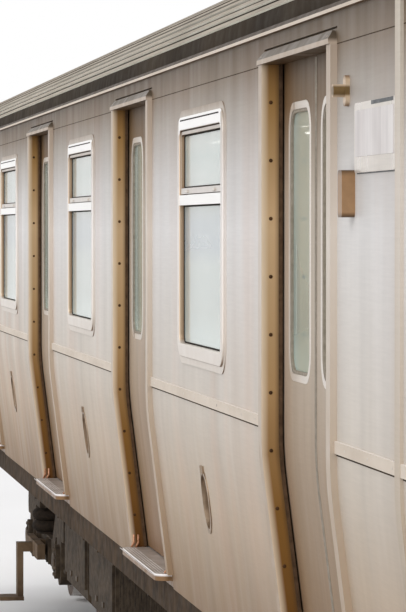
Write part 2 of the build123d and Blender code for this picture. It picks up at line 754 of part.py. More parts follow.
def drip_rail():
    """Lipped rail under the eave of the left side."""
    low = EAVE_Z - DRIP_DEPTH
    return along_x(
        section(
            [
                (HALF_WIDTH, low),
                (HALF_WIDTH + DRIP_PROUD, low),
                (HALF_WIDTH + DRIP_PROUD, low + DRIP_LIP),
                (HALF_WIDTH + DRIP_TOP_PROUD, EAVE_Z),
                (HALF_WIDTH, EAVE_Z),
            ]
        ),
        -WALL_END,
        WALL_END,
    )


def side_sign():
    """Blank sign board on the left side of the cab end's bay."""
    x = DOOR_CENTRES[0] + SIGN_OFFSET
    z = FLOOR_Z + SIGN_MIDDLE
    return upright_slab(x, z, SIGN_WIDTH, SIGN_HEIGHT, SIGN_RADIUS, HALF_WIDTH, HALF_WIDTH + SIGN_PROUD)


def side_lamps():
    """Door lamp, and marker lamp on its base, on the left side of the cab end's bay."""
    door_lamp = upright_slab(
        DOOR_CENTRES[0] + DOOR_LAMP_OFFSET,
        FLOOR_Z + DOOR_LAMP_MIDDLE,
        DOOR_LAMP_WIDTH,
        DOOR_LAMP_HEIGHT,
        SIGN_RADIUS,
        HALF_WIDTH,
        HALF_WIDTH + DOOR_LAMP_PROUD,
    )
    x, z = DOOR_CENTRES[0] + MARKER_OFFSET, FLOOR_Z + MARKER_MIDDLE
    marker = upright_slab(
        x, z, MARKER_WIDTH, MARKER_HEIGHT, MARKER_RADIUS, HALF_WIDTH, HALF_WIDTH + MARKER_BASE
    )
    marker += rod_y(x, z, MARKER_RADIUS, HALF_WIDTH, HALF_WIDTH + MARKER_PROUD)
    return [door_lamp, marker]


def fixed_hinges(wall_x, door_width):
    """Wall's half of a door's hinges: straps, outer knuckles and pins on the wall's inner face."""
    x = wall_x - HINGE_OFFSET
    y = door_width / 2 + END_DOOR_GAP
    straps = None
    for height in HINGE_HEIGHTS:
        middle = FLOOR_Z + height
        for low in (middle - HINGE_LENGTH / 2, middle + HINGE_LENGTH / 6):
            high = low + HINGE_LENGTH / 3
            knuckle = rod_z(x, y, HINGE_KNUCKLE_RADIUS, low, high)
            knuckle += box(x, wall_x, y, y + HINGE_KNUCKLE_RADIUS, low, high)
            knuckle += box(wall_x - HINGE_STRAP_THICKNESS, wall_x, y, y + HINGE_STRAP_WIDTH, low, high)
            straps = knuckle if straps is None else straps + knuckle
        straps += rod_z(x, y, HINGE_PIN_RADIUS, middle - HINGE_LENGTH / 2, middle + HINGE_LENGTH / 2)
    return straps


def hinged_door(wall_x, width, height, thickness, window_width):
    """Door flush with a wall's inner face, with its half of the hinges, and its pane."""
    half = width / 2
    door = box(wall_x, wall_x + thickness, -half, half, FLOOR_Z + END_DOOR_GAP, FLOOR_Z + height)
    middle_z = FLOOR_Z + (END_WINDOW_LOW + END_WINDOW_HIGH) / 2
    tall = END_WINDOW_HIGH - END_WINDOW_LOW
    door -= cross_slab(0, middle_z, window_width, tall, END_WINDOW_RADIUS, wall_x, wall_x + thickness)
    front = wall_x + thickness - END_GLASS_INSET
    pane = cross_slab(
        0,
        middle_z,
        window_width - 2 * FIT,
        tall - 2 * FIT,
        END_WINDOW_RADIUS - FIT,
        front - GLASS_THICKNESS,
        front,
    )
    x = wall_x - HINGE_OFFSET
    y = half + END_DOOR_GAP
    reach = HINGE_LENGTH / 6 - FIT
    for middle in [FLOOR_Z + height for height in HINGE_HEIGHTS]:
        low, high = middle - reach, middle + reach
        door += rod_z(x, y, HINGE_KNUCKLE_RADIUS, low, high)
        edge = y - END_DOOR_GAP
        door += box(x, wall_x, edge - HINGE_KNUCKLE_RADIUS, edge, low, high)
        door += box(wall_x - HINGE_STRAP_THICKNESS, wall_x, y - HINGE_STRAP_WIDTH, edge, low, high)
        door -= rod_z(x, y, HINGE_PIN_RADIUS + HINGE_CLEARANCE, low, high)
    return [door, pane]


def end_window(inset, x0, x1):
    """Slab of the left end window's outline at the cab end, set in all round by inset."""
    return cross_slab(
        (END_WINDOW_INNER + END_WINDOW_OUTER) / 2,
        FLOOR_Z + (END_WINDOW_LOW + END_WINDOW_HIGH) / 2,
        END_WINDOW_OUTER - END_WINDOW_INNER - 2 * inset,
        END_WINDOW_HIGH - END_WINDOW_LOW - 2 * inset,
        END_WINDOW_RADIUS - inset,
        x0,
        x1,
    )


def end_wall():
    """Cab end wall, with the door opening, two windows and the door's hinge pins."""
    wall = along_x(end_section(), WALL_END, BODY_END)
    half = END_DOOR_WIDTH / 2 + END_DOOR_GAP
    wall -= box(WALL_END, BODY_END, -half, half, FLOOR_Z, FLOOR_Z + END_DOOR_HEIGHT + END_DOOR_GAP)
    hole = end_window(0, WALL_END, BODY_END)
    return wall - hole - mirrored(hole) + fixed_hinges(WALL_END, END_DOOR_WIDTH)


def end_lens(y, radius):
    """Round lamp with a bulging lens on the cab end wall."""
    z = FLOOR_Z + LAMP_HEIGHT
    lens = Pos(BODY_END + LAMP_PROUD + LENS_BULGE / 2, y, z) * Rot(0, 90, 0) * Cone(
        radius, radius - LENS_EDGE, LENS_BULGE
    )
    return rod_x(y, z, radius, BODY_END, BODY_END + LAMP_PROUD) + lens


def end_rail(y, low, high):
    """Bent handrail on the cab end wall."""
    x = BODY_END + END_RAIL_STANDOFF
    path = FilletPolyline(
        (BODY_END, y, FLOOR_Z + low),
        (x, y, FLOOR_Z + low),
        (x, y, FLOOR_Z + high),
        (BODY_END, y, FLOOR_Z + high),
        radius=END_RAIL_BEND,
    )
    return sweep(Plane(path @ 0, z_dir=path % 0) * Circle(END_RAIL_RADIUS), path=path)


def cab_wall():
    """Partition between cab and saloon, fitting inside the body, with its door opening and hinges."""
    depth = WALL + FIT
    side = FilletPolyline(
        (side_y(depth, FLOOR_Z), FLOOR_Z),
        (side_y(depth, BEND_Z), BEND_Z),
        (side_y(depth, EAVE_Z), EAVE_Z),
        radius=BEND_RADIUS,
    )
    top = Polyline(side @ 1, (CEILING_HALF_WIDTH, CEILING_Z), (0, CEILING_Z))
    half = [*side.edges(), *top.edges()]
    other = [mirror(edge, about=Plane.YZ) for edge in half]
    foot = Line(side @ 0, (-(side @ 0).X, FLOOR_Z))
    wall = along_x(Plane.YZ * make_face([*half, *other, foot]), CAB_WALL_X, CAB_WALL_X + CAB_WALL)
    opening = CAB_DOOR_WIDTH / 2 + END_DOOR_GAP
    head = FLOOR_Z + CAB_DOOR_HEIGHT + END_DOOR_GAP
    wall -= box(CAB_WALL_X, CAB_WALL_X + CAB_WALL, -opening, opening, FLOOR_Z, head)
    return wall + fixed_hinges(CAB_WALL_X, CAB_DOOR_WIDTH)


def cab_desk():
    """Driving desk on the right of the cab, with a sloping top and knee room."""
    back = WALL_END - FIT
    front = back - DESK_DEPTH
    profile = make_face(
        Polyline(
            (back, FLOOR_Z),
            (front + DESK_KNEE_DEPTH, FLOOR_Z),
            (front + DESK_KNEE_DEPTH, FLOOR_Z + DESK_KNEE_HEIGHT),
            (front, FLOOR_Z + DESK_KNEE_HEIGHT),
            (front, FLOOR_Z + DESK_FRONT_HEIGHT),
            (back, FLOOR_Z + DESK_HEIGHT),
            close=True,
        )
    )
    return Pos(0, -DESK_OUTER, 0) * extrude(Plane.XZ * profile, amount=DESK_OUTER - DESK_INNER, dir=(0, 1, 0))


def seat_bench(centre, length):
    """Long bench along the left wall on its heater box, with a screen at each end."""
    def wall_face(height):
        return side_y(WALL, FLOOR_Z + height) - SEAT_WALL_GAP

    front = INNER_Y - SEAT_REACH
    heater = INNER_Y - HEATER_REACH
    profile = [
        (wall_face(0), FLOOR_Z),
        (heater, FLOOR_Z),
        (heater, FLOOR_Z + HEATER_HEIGHT),
        (front, FLOOR_Z + SEAT_HEIGHT - SEAT_CUSHION),
        (front, FLOOR_Z + SEAT_HEIGHT),
        (wall_face(SEAT_HEIGHT) - 2 * SEAT_BACK_THICKNESS, FLOOR_Z + SEAT_HEIGHT),
        (wall_face(SEAT_BACK_HEIGHT) - SEAT_BACK_THICKNESS, FLOOR_Z + SEAT_BACK_HEIGHT),
        (wall_face(SEAT_BACK_HEIGHT), FLOOR_Z + SEAT_BACK_HEIGHT),
        (wall_face(SEAT_HEIGHT), FLOOR_Z + SEAT_HEIGHT),
    ]
    bench = along_x(section(profile), centre - length / 2, centre + length / 2)
    screen = section(
        [
            (wall_face(0), FLOOR_Z),
            (INNER_Y - SCREEN_REACH, FLOOR_Z),
            (INNER_Y - SCREEN_REACH, FLOOR_Z + SCREEN_HEIGHT - SCREEN_SLANT),
            (INNER_Y - SCREEN_REACH + SCREEN_SLANT, FLOOR_Z + SCREEN_HEIGHT),
            (wall_face(SCREEN_HEIGHT), FLOOR_Z + SCREEN_HEIGHT),
            (wall_face(BEND_HEIGHT), BEND_Z),
        ]
    )
    for way in (-1, 1):
        near, far = sorted((centre + way * length / 2, centre + way * (length / 2 + SCREEN_THICKNESS)))
        bench += along_x(screen, near, far)
    return bench


def grab_rail():
    """Rail over the left seats, held by upright poles from floor to ceiling."""
    reach = DOOR_CENTRES[0]
    rail = rod_x(POLE_Y, FLOOR_Z + GRAB_RAIL_HEIGHT, POLE_RADIUS, -reach, reach)
    for centre in DOOR_CENTRES:
        for way in (-1, 1):
            x = centre + way * (HALF_DOOR + SEAT_DOOR_GAP)
            if abs(x) < reach:
                rail += rod_z(x, POLE_Y, POLE_RADIUS, FLOOR_Z, CEILING_Z)
    return rail


def underframe():
    """Side sills, centre sill, cross bearers, bolsters and end sills in one welded ladder."""
    sill = box(-WALL_END, WALL_END, SILL_INNER, SILL_OUTER, DECK_Z - SILL_DEPTH, DECK_Z)
    ladder = sill + mirrored(sill)
    ladder += box(-WALL_END, WALL_END, -CENTRE_SILL_HALF_WIDTH, CENTRE_SILL_HALF_WIDTH, CENTRE_SILL_Z, DECK_Z)
    for step in range(-BEARERS_EACH_WAY, BEARERS_EACH_WAY + 1):
        x = step * BEARER_PITCH
        ladder += box(x - BEARER_WIDTH / 2, x + BEARER_WIDTH / 2, -SILL_INNER, SILL_INNER, BEARER_Z, DECK_Z)
    x, half = BOGIE_CENTRE, BODY_BOLSTER_HALF_WIDTH
    bolster = box(x - half, x + half, -SILL_INNER, SILL_INNER, CENTRE_SILL_Z, DECK_Z)
    end_sill = box(WALL_END - END_SILL_LENGTH, BODY_END, -SILL_OUTER, SILL_OUTER, DECK_Z - SILL_DEPTH, DECK_Z)
    return ladder + bolster + turned(bolster) + end_sill + turned(end_sill)


def equipment_body(first, last, outer):
    """Box on its hanger plate between two bearers, chamfered below, with its outer face at a given Y."""
    start, end = first * BEARER_PITCH, last * BEARER_PITCH
    low = BEARER_Z - BOX_DEPTH
    profile = section(
        [
            (BOX_INNER, BEARER_Z),
            (BOX_INNER, low),
            (outer - BOX_CHAMFER, low),
            (outer, low + BOX_CHAMFER),
            (outer, BEARER_Z),
        ]
    )
    plate = box(start, end, BOX_INNER, outer, BEARER_Z - HANGER_THICKNESS, BEARER_Z)
    return along_x(profile, start + BOX_END_GAP, end - BOX_END_GAP) + plate


def lidded_box(first, last):
    """Equipment box with a row of lids on its outer face."""
    shape = equipment_body(first, last, BOX_OUTER)
    start = first * BEARER_PITCH + BOX_END_GAP
    length = (last - first) * BEARER_PITCH - 2 * BOX_END_GAP
    count = int((length - LID_GAP) / (LID_LENGTH + LID_GAP))
    pitch = length / count
    low, high = BEARER_Z - BOX_DEPTH + BOX_CHAMFER + LID_MARGIN, BEARER_Z - LID_MARGIN
    for number in range(count):
        x = start + number * pitch
        shape += box(x + LID_GAP, x + pitch - LID_GAP, BOX_OUTER, BOX_OUTER + LID_PROUD, low, high)
    return shape


def finned_box(first, last):
    """Resistor box with upright cooling fins on its outer face."""
    outer = BOX_OUTER - FIN_DEPTH
    shape = equipment_body(first, last, outer)
    start = first * BEARER_PITCH + BOX_END_GAP
    length = (last - first) * BEARER_PITCH - 2 * BOX_END_GAP
    low, high = BEARER_Z - BOX_DEPTH + BOX_CHAMFER, BEARER_Z
    for number in range(int(length / FIN_PITCH)):
        x = start + number * FIN_PITCH
        shape += box(x, x + FIN_THICKNESS, outer, BOX_OUTER, low, high)
    return shape


def tank_pair(first, last):
    """Two dished air tanks, strapped under a hanger plate between two bearers."""
    start, end = first * BEARER_PITCH, last * BEARER_PITCH
    z = BEARER_Z - TANK_DROP
    under = BEARER_Z - HANGER_THICKNESS
    reach = TANK_YS[0] - TANK_RADIUS, TANK_YS[-1] + TANK_RADIUS
    pair = box(start, end, *reach, under, BEARER_Z)
    for y in TANK_YS:
        tank = rod_x(y, z, TANK_RADIUS, start + BOX_END_GAP, end - BOX_END_GAP)
        pair += fillet(tank.edges().filter_by(GeomType.CIRCLE), TANK_DISH)
        for x in (start + TANK_STRAP_INSET, end - TANK_STRAP_INSET):
            half = TANK_STRAP_WIDTH / 2
            pair += box(x - half, x + half, y - TANK_RADIUS, y + TANK_RADIUS, z, under)
    return pair


def wheelset():
    """Axle with its two wheels, turning about Y through the origin."""
    back, front = WHEEL_BACK, WHEEL_BACK + WHEEL_WIDTH
    rim = WHEEL_RADIUS - RIM_THICKNESS
    web_back = WHEEL_BACK + (WHEEL_WIDTH - WEB_THICKNESS) / 2
    journal_start = SIDE_FRAME_INNER - JOURNAL_SHOULDER
    journal_end = SIDE_FRAME_OUTER - JOURNAL_END_INSET
    half = [
        (0, 0),
        (AXLE_RADIUS, 0),
        (AXLE_RADIUS, back),
        (HUB_RADIUS, back),
        (HUB_RADIUS, web_back),
        (rim, web_back),
        (rim, back),
        (WHEEL_RADIUS + FLANGE_DEPTH, back),
        (WHEEL_RADIUS + FLANGE_DEPTH, back + FLANGE_TIP_WIDTH),
        (WHEEL_RADIUS, back + FLANGE_WIDTH),
        (WHEEL_RADIUS - TREAD_FALL, front),
        (rim, front),
        (rim, web_back + WEB_THICKNESS),
        (HUB_RADIUS, web_back + WEB_THICKNESS),
        (HUB_RADIUS, front),
        (AXLE_RADIUS, front),
        (AXLE_RADIUS, journal_start),
        (JOURNAL_RADIUS, journal_start),
        (JOURNAL_RADIUS, journal_end),
        (0, journal_end),
    ]
    side = revolve(make_face(Polyline(*half, close=True)), axis=Axis.Y, revolution_arc=360)
    return side + mirrored(side)


def bogie_frame():
    """Welded frame with dipped side beams, axle boxes, two transoms and a brake unit at each wheel."""
    end = WHEELBASE / 2 + SIDE_FRAME_OVERHANG
    shoulder = WHEELBASE / 2 - AXLE_BOX_RADIUS - AXLE_BOX_ARM
    flat = shoulder - SIDE_FRAME_SLOPE
    half = [
        (flat, WELL_LOW_Z),
        (shoulder, SIDE_FRAME_LOW_Z),
        (end, SIDE_FRAME_LOW_Z),
        (end, SIDE_FRAME_LOW_Z + SIDE_FRAME_DEPTH),
        (shoulder, SIDE_FRAME_LOW_Z + SIDE_FRAME_DEPTH),
        (flat, WELL_TOP_Z),
    ]
    outline = FilletPolyline(
        *half, *[(-x, z) for x, z in reversed(half)], radius=SIDE_FRAME_ROUND, close=True
    )
    beam = extrude(Plane.XZ * make_face(outline), amount=SIDE_FRAME_WIDTH, dir=(0, 1, 0))
    beam = Pos(0, SIDE_FRAME_INNER, 0) * beam
    brake_start = WHEEL_BACK + FLANGE_WIDTH + BRAKE_FLANGE_GAP
    for way in (-1, 1):
        x = way * WHEELBASE / 2
        beam += rod_y(x, AXLE_Z, AXLE_BOX_RADIUS, SIDE_FRAME_INNER, SIDE_FRAME_OUTER)
        beam += box(
            x - AXLE_BOX_RADIUS,
            x + AXLE_BOX_RADIUS,
            SIDE_FRAME_INNER,
            SIDE_FRAME_OUTER,
            AXLE_Z,
            SIDE_FRAME_LOW_Z,
        )
        beam += rod_y(x, AXLE_Z, AXLE_CAP_RADIUS, SIDE_FRAME_OUTER, SIDE_FRAME_OUTER + AXLE_CAP_DEPTH)
        bore = SIDE_FRAME_OUTER - JOURNAL_END_INSET + JOURNAL_END_GAP
        beam -= rod_y(x, AXLE_Z, JOURNAL_RADIUS + JOURNAL_CLEARANCE, SIDE_FRAME_INNER, bore)
        near, far = sorted((way * TRANSOM_X, x))
        low, high = AXLE_Z - BRAKE_HALF_HEIGHT, AXLE_Z + BRAKE_HALF_HEIGHT
        brake = box(near, far, brake_start, brake_start + BRAKE_WIDTH, low, high)
        beam += brake - rod_y(x, AXLE_Z, WHEEL_RADIUS + BRAKE_GAP, WHEEL_BACK, SIDE_FRAME_INNER)
        x = way * TRANSOM_X
        low = WELL_LOW_Z + TRANSOM_LIFT
        beam += box(
            x - TRANSOM_WIDTH / 2, x + TRANSOM_WIDTH / 2, 0, SIDE_FRAME_INNER, low, low + TRANSOM_DEPTH
        )
    return beam + mirrored(beam)


def bogie_bolster():
    """Cross beam on the air springs, with the bowl that takes the body's centre pin."""
    half, reach = BOGIE_BOLSTER_HALF_WIDTH, BOGIE_BOLSTER_REACH
    beam = box(-half, half, -reach, reach, SPRING_TOP_Z, BOLSTER_TOP_Z)
    beam += rod_z(0, 0, CENTRE_PLATE_RADIUS, SPRING_TOP_Z, CENTRE_PLATE_Z - FIT)
    return beam - rod_z(0, 0, CENTRE_PIN_RADIUS + PIN_CLEARANCE, SPRING_TOP_Z, CENTRE_PLATE_Z)


def air_spring():
    """Two-fold bellows between two round plates, over the left side frame."""
    low, high = WELL_TOP_Z + SPRING_PLATE, SPRING_TOP_Z - SPRING_PLATE
    middle = (low + high) / 2
    waist, bulge = SPRING_WAIST_RADIUS, SPRING_RADIUS
    outline = [
        Line((0, WELL_TOP_Z), (waist, WELL_TOP_Z)),
        Line((waist, WELL_TOP_Z), (waist, low)),
        ThreePointArc((waist, low), (bulge, (low + middle) / 2), (waist, middle)),
        ThreePointArc((waist, middle), (bulge, (middle + high) / 2), (waist, high)),
        Line((waist, high), (waist, SPRING_TOP_Z)),
        Line((waist, SPRING_TOP_Z), (0, SPRING_TOP_Z)),
        Line((0, SPRING_TOP_Z), (0, WELL_TOP_Z)),
    ]
    spring = revolve(Plane.XZ * make_face(outline), axis=Axis.Z, revolution_arc=360)
    return Pos(0, SIDE_FRAME_Y, 0) * spring


def traction_motor():
    """Motor and gear case of the leading axle, hung on the transom by a nose."""
    axle_x = WHEELBASE / 2
    x = axle_x - MOTOR_TO_AXLE
    case = rod_y(x, AXLE_Z, MOTOR_RADIUS, -MOTOR_HALF_LENGTH, GEAR_START)
    for way in (-1, 1):
        middle = way * (MOTOR_HALF_LENGTH - MOTOR_BAND)
        case += rod_y(
            x, AXLE_Z, MOTOR_RADIUS + MOTOR_BAND_PROUD, middle - MOTOR_BAND / 2, middle + MOTOR_BAND / 2
        )
    half = NOSE_DEPTH / 2
    nose_start = TRANSOM_X + TRANSOM_WIDTH / 2
    case += box(nose_start, x, -NOSE_HALF_WIDTH, NOSE_HALF_WIDTH, AXLE_Z - half, AXLE_Z + half)
    end = GEAR_START + GEAR_WIDTH
    gear = rod_y(axle_x, AXLE_Z, GEAR_RADIUS, GEAR_START, end)
    gear += rod_y(x, AXLE_Z, PINION_RADIUS, GEAR_START, end)
    gear += box(x, axle_x, GEAR_START, end, AXLE_Z - PINION_RADIUS, AXLE_Z + PINION_RADIUS)
    gear -= rod_y(axle_x, AXLE_Z, AXLE_RADIUS + GEAR_CLEARANCE, GEAR_START, end)
    return case + gear


def collector_shoe():
    """Insulated beam and current shoe on the left side of a bogie."""
    outer = SIDE_FRAME_OUTER
    top = WELL_TOP_Z - SHOE_BEAM_DROP
    low = top - SHOE_BEAM_DEPTH
    half = SHOE_BRACKET_HALF_WIDTH
    beam_start = outer + SHOE_BEAM_GAP
    beam_end = beam_start + SHOE_BEAM_WIDTH
    arm_end = beam_end + SHOE_ARM_REACH
    arm_low, arm_high = (low + top - SHOE_ARM_DEPTH) / 2, (low + top + SHOE_ARM_DEPTH) / 2
    shoe_low = RAIL_Z + SHOE_HEIGHT
    shoe = box(-half, half, outer, beam_start, low, top)
    shoe += box(-SHOE_BEAM_HALF_LENGTH, SHOE_BEAM_HALF_LENGTH, beam_start, beam_end, low, top)
    shoe += box(-half, half, beam_end, arm_end, arm_low, arm_high)
    leg_start = arm_end - SHOE_LEG_WIDTH
    shoe += box(-half, half, leg_start, arm_end, shoe_low, arm_low)
    reach, shoe_end = SHOE_HALF_LENGTH, leg_start + SHOE_WIDTH
    return shoe + box(-reach, reach, leg_start, shoe_end, shoe_low, shoe_low + SHOE_THICKNESS)


def centre_plate():
    """Plate and pin under the front body bolster, which the bogie turns about."""
    x = BOGIE_CENTRE
    plate = rod_z(x, 0, CENTRE_PLATE_RADIUS, CENTRE_PLATE_Z, CENTRE_SILL_Z)
    return plate + rod_z(x, 0, CENTRE_PIN_RADIUS, CENTRE_PLATE_Z - CENTRE_PIN_LENGTH, CENTRE_PLATE_Z)


def draft_gear():
    """Fork under the centre sill, with the pin that a coupler swings on."""
    x = COUPLER_PIVOT_X
    low, high = COUPLER_Z - FORK_HALF_HEIGHT, COUPLER_Z + FORK_HALF_HEIGHT
    throat = x - FORK_THROAT
    block = box(x - FORK_LENGTH, throat, -FORK_BLOCK_HALF_WIDTH, FORK_BLOCK_HALF_WIDTH, low, CENTRE_SILL_Z)
    for jaw in (low, high - FORK_JAW):
        block += box(throat, x, -FORK_HALF_WIDTH, FORK_HALF_WIDTH, jaw, jaw + FORK_JAW)
        block += rod_z(x, 0, FORK_HALF_WIDTH, jaw, jaw + FORK_JAW)
    return block + rod_z(x, 0, COUPLER_PIN_RADIUS, low, high)


def coupler():
    """Drawbar with its eye, ribbed neck and face plate of the head, and the contact box under it."""
    x = COUPLER_PIVOT_X
    face = BODY_END + COUPLER_REACH
    head_back = face - COUPLER_HEAD_LENGTH
    plate_back = face - COUPLER_FACE_THICKNESS
    low, high = COUPLER_Z - DRAWBAR_HALF_HEIGHT, COUPLER_Z + DRAWBAR_HALF_HEIGHT
    bar = rod_z(x, 0, DRAWBAR_EYE_RADIUS, low, high)
    bar += box(x, head_back, -DRAWBAR_HALF_WIDTH, DRAWBAR_HALF_WIDTH, low, high)
    bar -= rod_z(x, 0, COUPLER_PIN_RADIUS + PIN_CLEARANCE, low, high)
    half, tall, neck = COUPLER_HEAD_HALF_WIDTH, COUPLER_HEAD_HALF_HEIGHT, COUPLER_NECK_HALF_WIDTH
    head = box(plate_back, face, -half, half, COUPLER_Z - tall, COUPLER_Z + tall)
    head += box(head_back, plate_back, -neck, neck, COUPLER_Z - neck, COUPLER_Z + neck)
    rib = COUPLER_RIB_THICKNESS / 2
    head += box(head_back, plate_back, -rib, rib, COUPLER_Z - tall, COUPLER_Z + tall)
    head += box(head_back, plate_back, -half, half, COUPLER_Z - rib, COUPLER_Z + rib)
    contact_end = face - CONTACT_BOX_SETBACK
    head += box(
        contact_end - CONTACT_BOX_LENGTH,
        contact_end,
        -CONTACT_BOX_HALF_WIDTH,
        CONTACT_BOX_HALF_WIDTH,
        COUPLER_Z - tall - CONTACT_BOX_HEIGHT,
        COUPLER_Z - tall,
    )
    return bar + head


def anticlimber():
    """Toothed bar across the cab end of the underframe."""
    low = FLOOR_Z - ANTICLIMBER_DROP
    tooth = (DECK_Z - low) / (2 * ANTICLIMBER_TEETH - 1)
    half = ANTICLIMBER_HALF_WIDTH
    bar = box(BODY_END, BODY_END + ANTICLIMBER_LENGTH / 2, -half, half, low, DECK_Z)
    for number in range(ANTICLIMBER_TEETH):
        z = low + 2 * number * tooth
        bar += box(BODY_END, BODY_END + ANTICLIMBER_LENGTH, -half, half, z, z + tooth)
    return bar


os.makedirs("parts", exist_ok=True)

left_bays = wall_bays()
save("side_wall_left", left_bays)
save("side_wall_right", [mirrored(bay) for bay in left_bays])
save("letterboards", both_sides([letterboard()]))
save("side_rails", both_sides([drip_rail(), *belt_rails()]))
save("roof", along_x(roof_section(), -WALL_END, WALL_END))
cup = step_cup()
save("step_cups", both_sides([Pos(centre, 0, 0) * cup for centre in WINDOW_CENTRES]))

save("door_frames", both_sides([door_frame(centre) for centre in DOOR_CENTRES]))
save("threshold_plates", both_sides([threshold(centre) for centre in DOOR_CENTRES]))
for number, centre in enumerate(DOOR_CENTRES, start=1):
    for name, way in (("fore", 1), ("aft", -1)):
        leaf = door_leaf(centre, way)
        save(f"door_leaf_left_{number}_{name}", leaf)
        save(f"door_leaf_right_{number}_{name}", [mirrored(piece) for piece in leaf])

frame = window_frame()
save("window_frames", both_sides([Pos(centre, 0, 0) * frame for centre in WINDOW_CENTRES]))
panes = window_panes()
side_panes = both_sides([Pos(centre, 0, 0) * pane for centre in WINDOW_CENTRES for pane in panes])
end_front = BODY_END - GLASS_RECESS
end_panes = both_ends(both_sides([end_window(FIT, end_front - GLASS_THICKNESS, end_front)]))
save("window_glass", side_panes + end_panes)

front_wall = end_wall()
save("end_wall_front", front_wall)
save("end_wall_rear", turned(front_wall))
front_door = hinged_door(WALL_END, END_DOOR_WIDTH, END_DOOR_HEIGHT, END_DOOR_THICKNESS, END_DOOR_WINDOW_WIDTH)
save("end_door_front", front_door)
save("end_door_rear", [turned(piece) for piece in front_door])
save("cab_wall", cab_wall())
cab_door = hinged_door(
    CAB_WALL_X, CAB_DOOR_WIDTH, CAB_DOOR_HEIGHT, CAB_DOOR_THICKNESS, CAB_DOOR_WINDOW_WIDTH
)
save("cab_door", cab_door)
save("cab_desk", cab_desk())

end_sign = cross_slab(
    END_SIGN_Y,
    FLOOR_Z + END_SIGN_MIDDLE,
    END_SIGN_WIDTH,
    END_SIGN_HEIGHT,
    SIGN_RADIUS,
    BODY_END,
    BODY_END + END_SIGN_PROUD,
)
save("signs", both_ends(both_sides([side_sign(), end_sign])))
lenses = [end_lens(HEADLAMP_Y, HEADLAMP_RADIUS), end_lens(HEADLAMP_Y + LAMP_SPACING, TAIL_LAMP_RADIUS)]
save("lamps", both_ends(both_sides([*lenses, *side_lamps()])))
save("end_handrails", both_ends(both_sides([end_rail(y, low, high) for y, low, high in END_RAILS])))

deck_half = side_y(WALL, DECK_Z) - FIT
save("floor", box(-WALL_END, WALL_END, -deck_half, deck_half, DECK_Z, FLOOR_Z))
save("underframe", underframe())
save("centre_pins_and_forks", both_ends([centre_plate(), draft_gear()]))
save("anticlimbers", both_ends([anticlimber()]))
front_coupler = coupler()
save("coupler_front", front_coupler)
save("coupler_rear", turned(front_coupler))

bench_length = DOOR_SPACING - DOOR_CLEAR_WIDTH - 2 * SEAT_DOOR_GAP
save("seats", both_sides([seat_bench(centre, bench_length) for centre in WINDOW_CENTRES]))
save("grab_poles", both_sides([grab_rail()]))
light_reach = CAB_WALL_X - FIT
light = box(-light_reach, light_reach, LIGHT_INNER, LIGHT_OUTER, CEILING_Z - LIGHT_DEPTH, CEILING_Z)
save("ceiling_lights", both_sides([light]))

equipment = []
for maker, table in ((lidded_box, LIDDED_BOXES), (finned_box, FINNED_BOXES), (tank_pair, TANK_BAYS)):
    for first, last, side in table:
        shape = maker(first, last)
        equipment.append(shape if side > 0 else mirrored(shape))
save("equipment_boxes", equipment)

for name, way in (("front", 1), ("rear", -1)):
    place = Pos(way * BOGIE_CENTRE, 0, 0)
    save(f"bogie_frame_{name}", [place * bogie_frame(), place * bogie_bolster()])
    save(f"air_springs_{name}", both_sides([place * air_spring()]))
    motor = traction_motor()
    save(f"traction_motors_{name}", [place * motor, place * Rot(0, 0, 180) * motor])
    save(f"collector_shoes_{name}", both_sides([place * collector_shoe()]))
    for axle, side in (("fore", 1), ("aft", -1)):
        x = way * BOGIE_CENTRE + side * WHEELBASE / 2
        save(f"wheelset_{name}_{axle}", Pos(x, 0, AXLE_Z) * wheelset())
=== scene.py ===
"""Looks of a stainless steel metro car: finishes, glass, seals, small fittings, light and camera."""
import math

import bmesh
import bpy
from mathutils import Matrix, Vector


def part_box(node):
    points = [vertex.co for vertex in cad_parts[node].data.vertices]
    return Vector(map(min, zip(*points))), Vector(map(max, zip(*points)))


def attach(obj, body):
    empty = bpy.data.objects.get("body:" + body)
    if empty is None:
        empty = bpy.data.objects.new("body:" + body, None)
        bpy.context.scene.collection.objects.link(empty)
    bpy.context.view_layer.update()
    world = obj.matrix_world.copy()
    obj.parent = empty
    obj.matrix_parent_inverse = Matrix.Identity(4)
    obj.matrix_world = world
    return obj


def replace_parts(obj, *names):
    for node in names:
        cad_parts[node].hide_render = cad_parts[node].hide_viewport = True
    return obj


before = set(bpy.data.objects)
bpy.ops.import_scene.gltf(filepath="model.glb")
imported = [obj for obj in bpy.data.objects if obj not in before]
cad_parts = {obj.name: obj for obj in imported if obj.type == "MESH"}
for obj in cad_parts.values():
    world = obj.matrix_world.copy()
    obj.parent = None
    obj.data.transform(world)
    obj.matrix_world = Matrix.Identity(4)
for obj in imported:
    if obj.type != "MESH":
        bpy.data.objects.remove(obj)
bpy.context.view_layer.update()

# Metres, in the frame of the solids: X along the car, Y across it, Z up
BODY = "car_body"
SIDE_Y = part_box("letterboards")[1][1]
FLOOR_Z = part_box("floor")[1][2]
WALL_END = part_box("floor")[1][0]
BODY_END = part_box("underframe")[1][0]
DECK_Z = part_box("underframe")[1][2]
HEAD_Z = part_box("letterboards")[0][2]
EAVE_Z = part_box("letterboards")[1][2]
BEND_Z = FLOOR_Z + 0.685
BEND_RADIUS = 1.3
LEAN = 0.085
BELT_Z = FLOOR_Z + 0.77
SKIN = 0.044

# Doorways and door leaves
DOOR_SPACING = 4.53
DOOR_CENTRES = [DOOR_SPACING * step for step in (1.5, 0.5, -0.5, -1.5)]
HALF_DOOR = 0.635
FRAME_EDGE = 0.705
LEAF_RECESS = 0.054

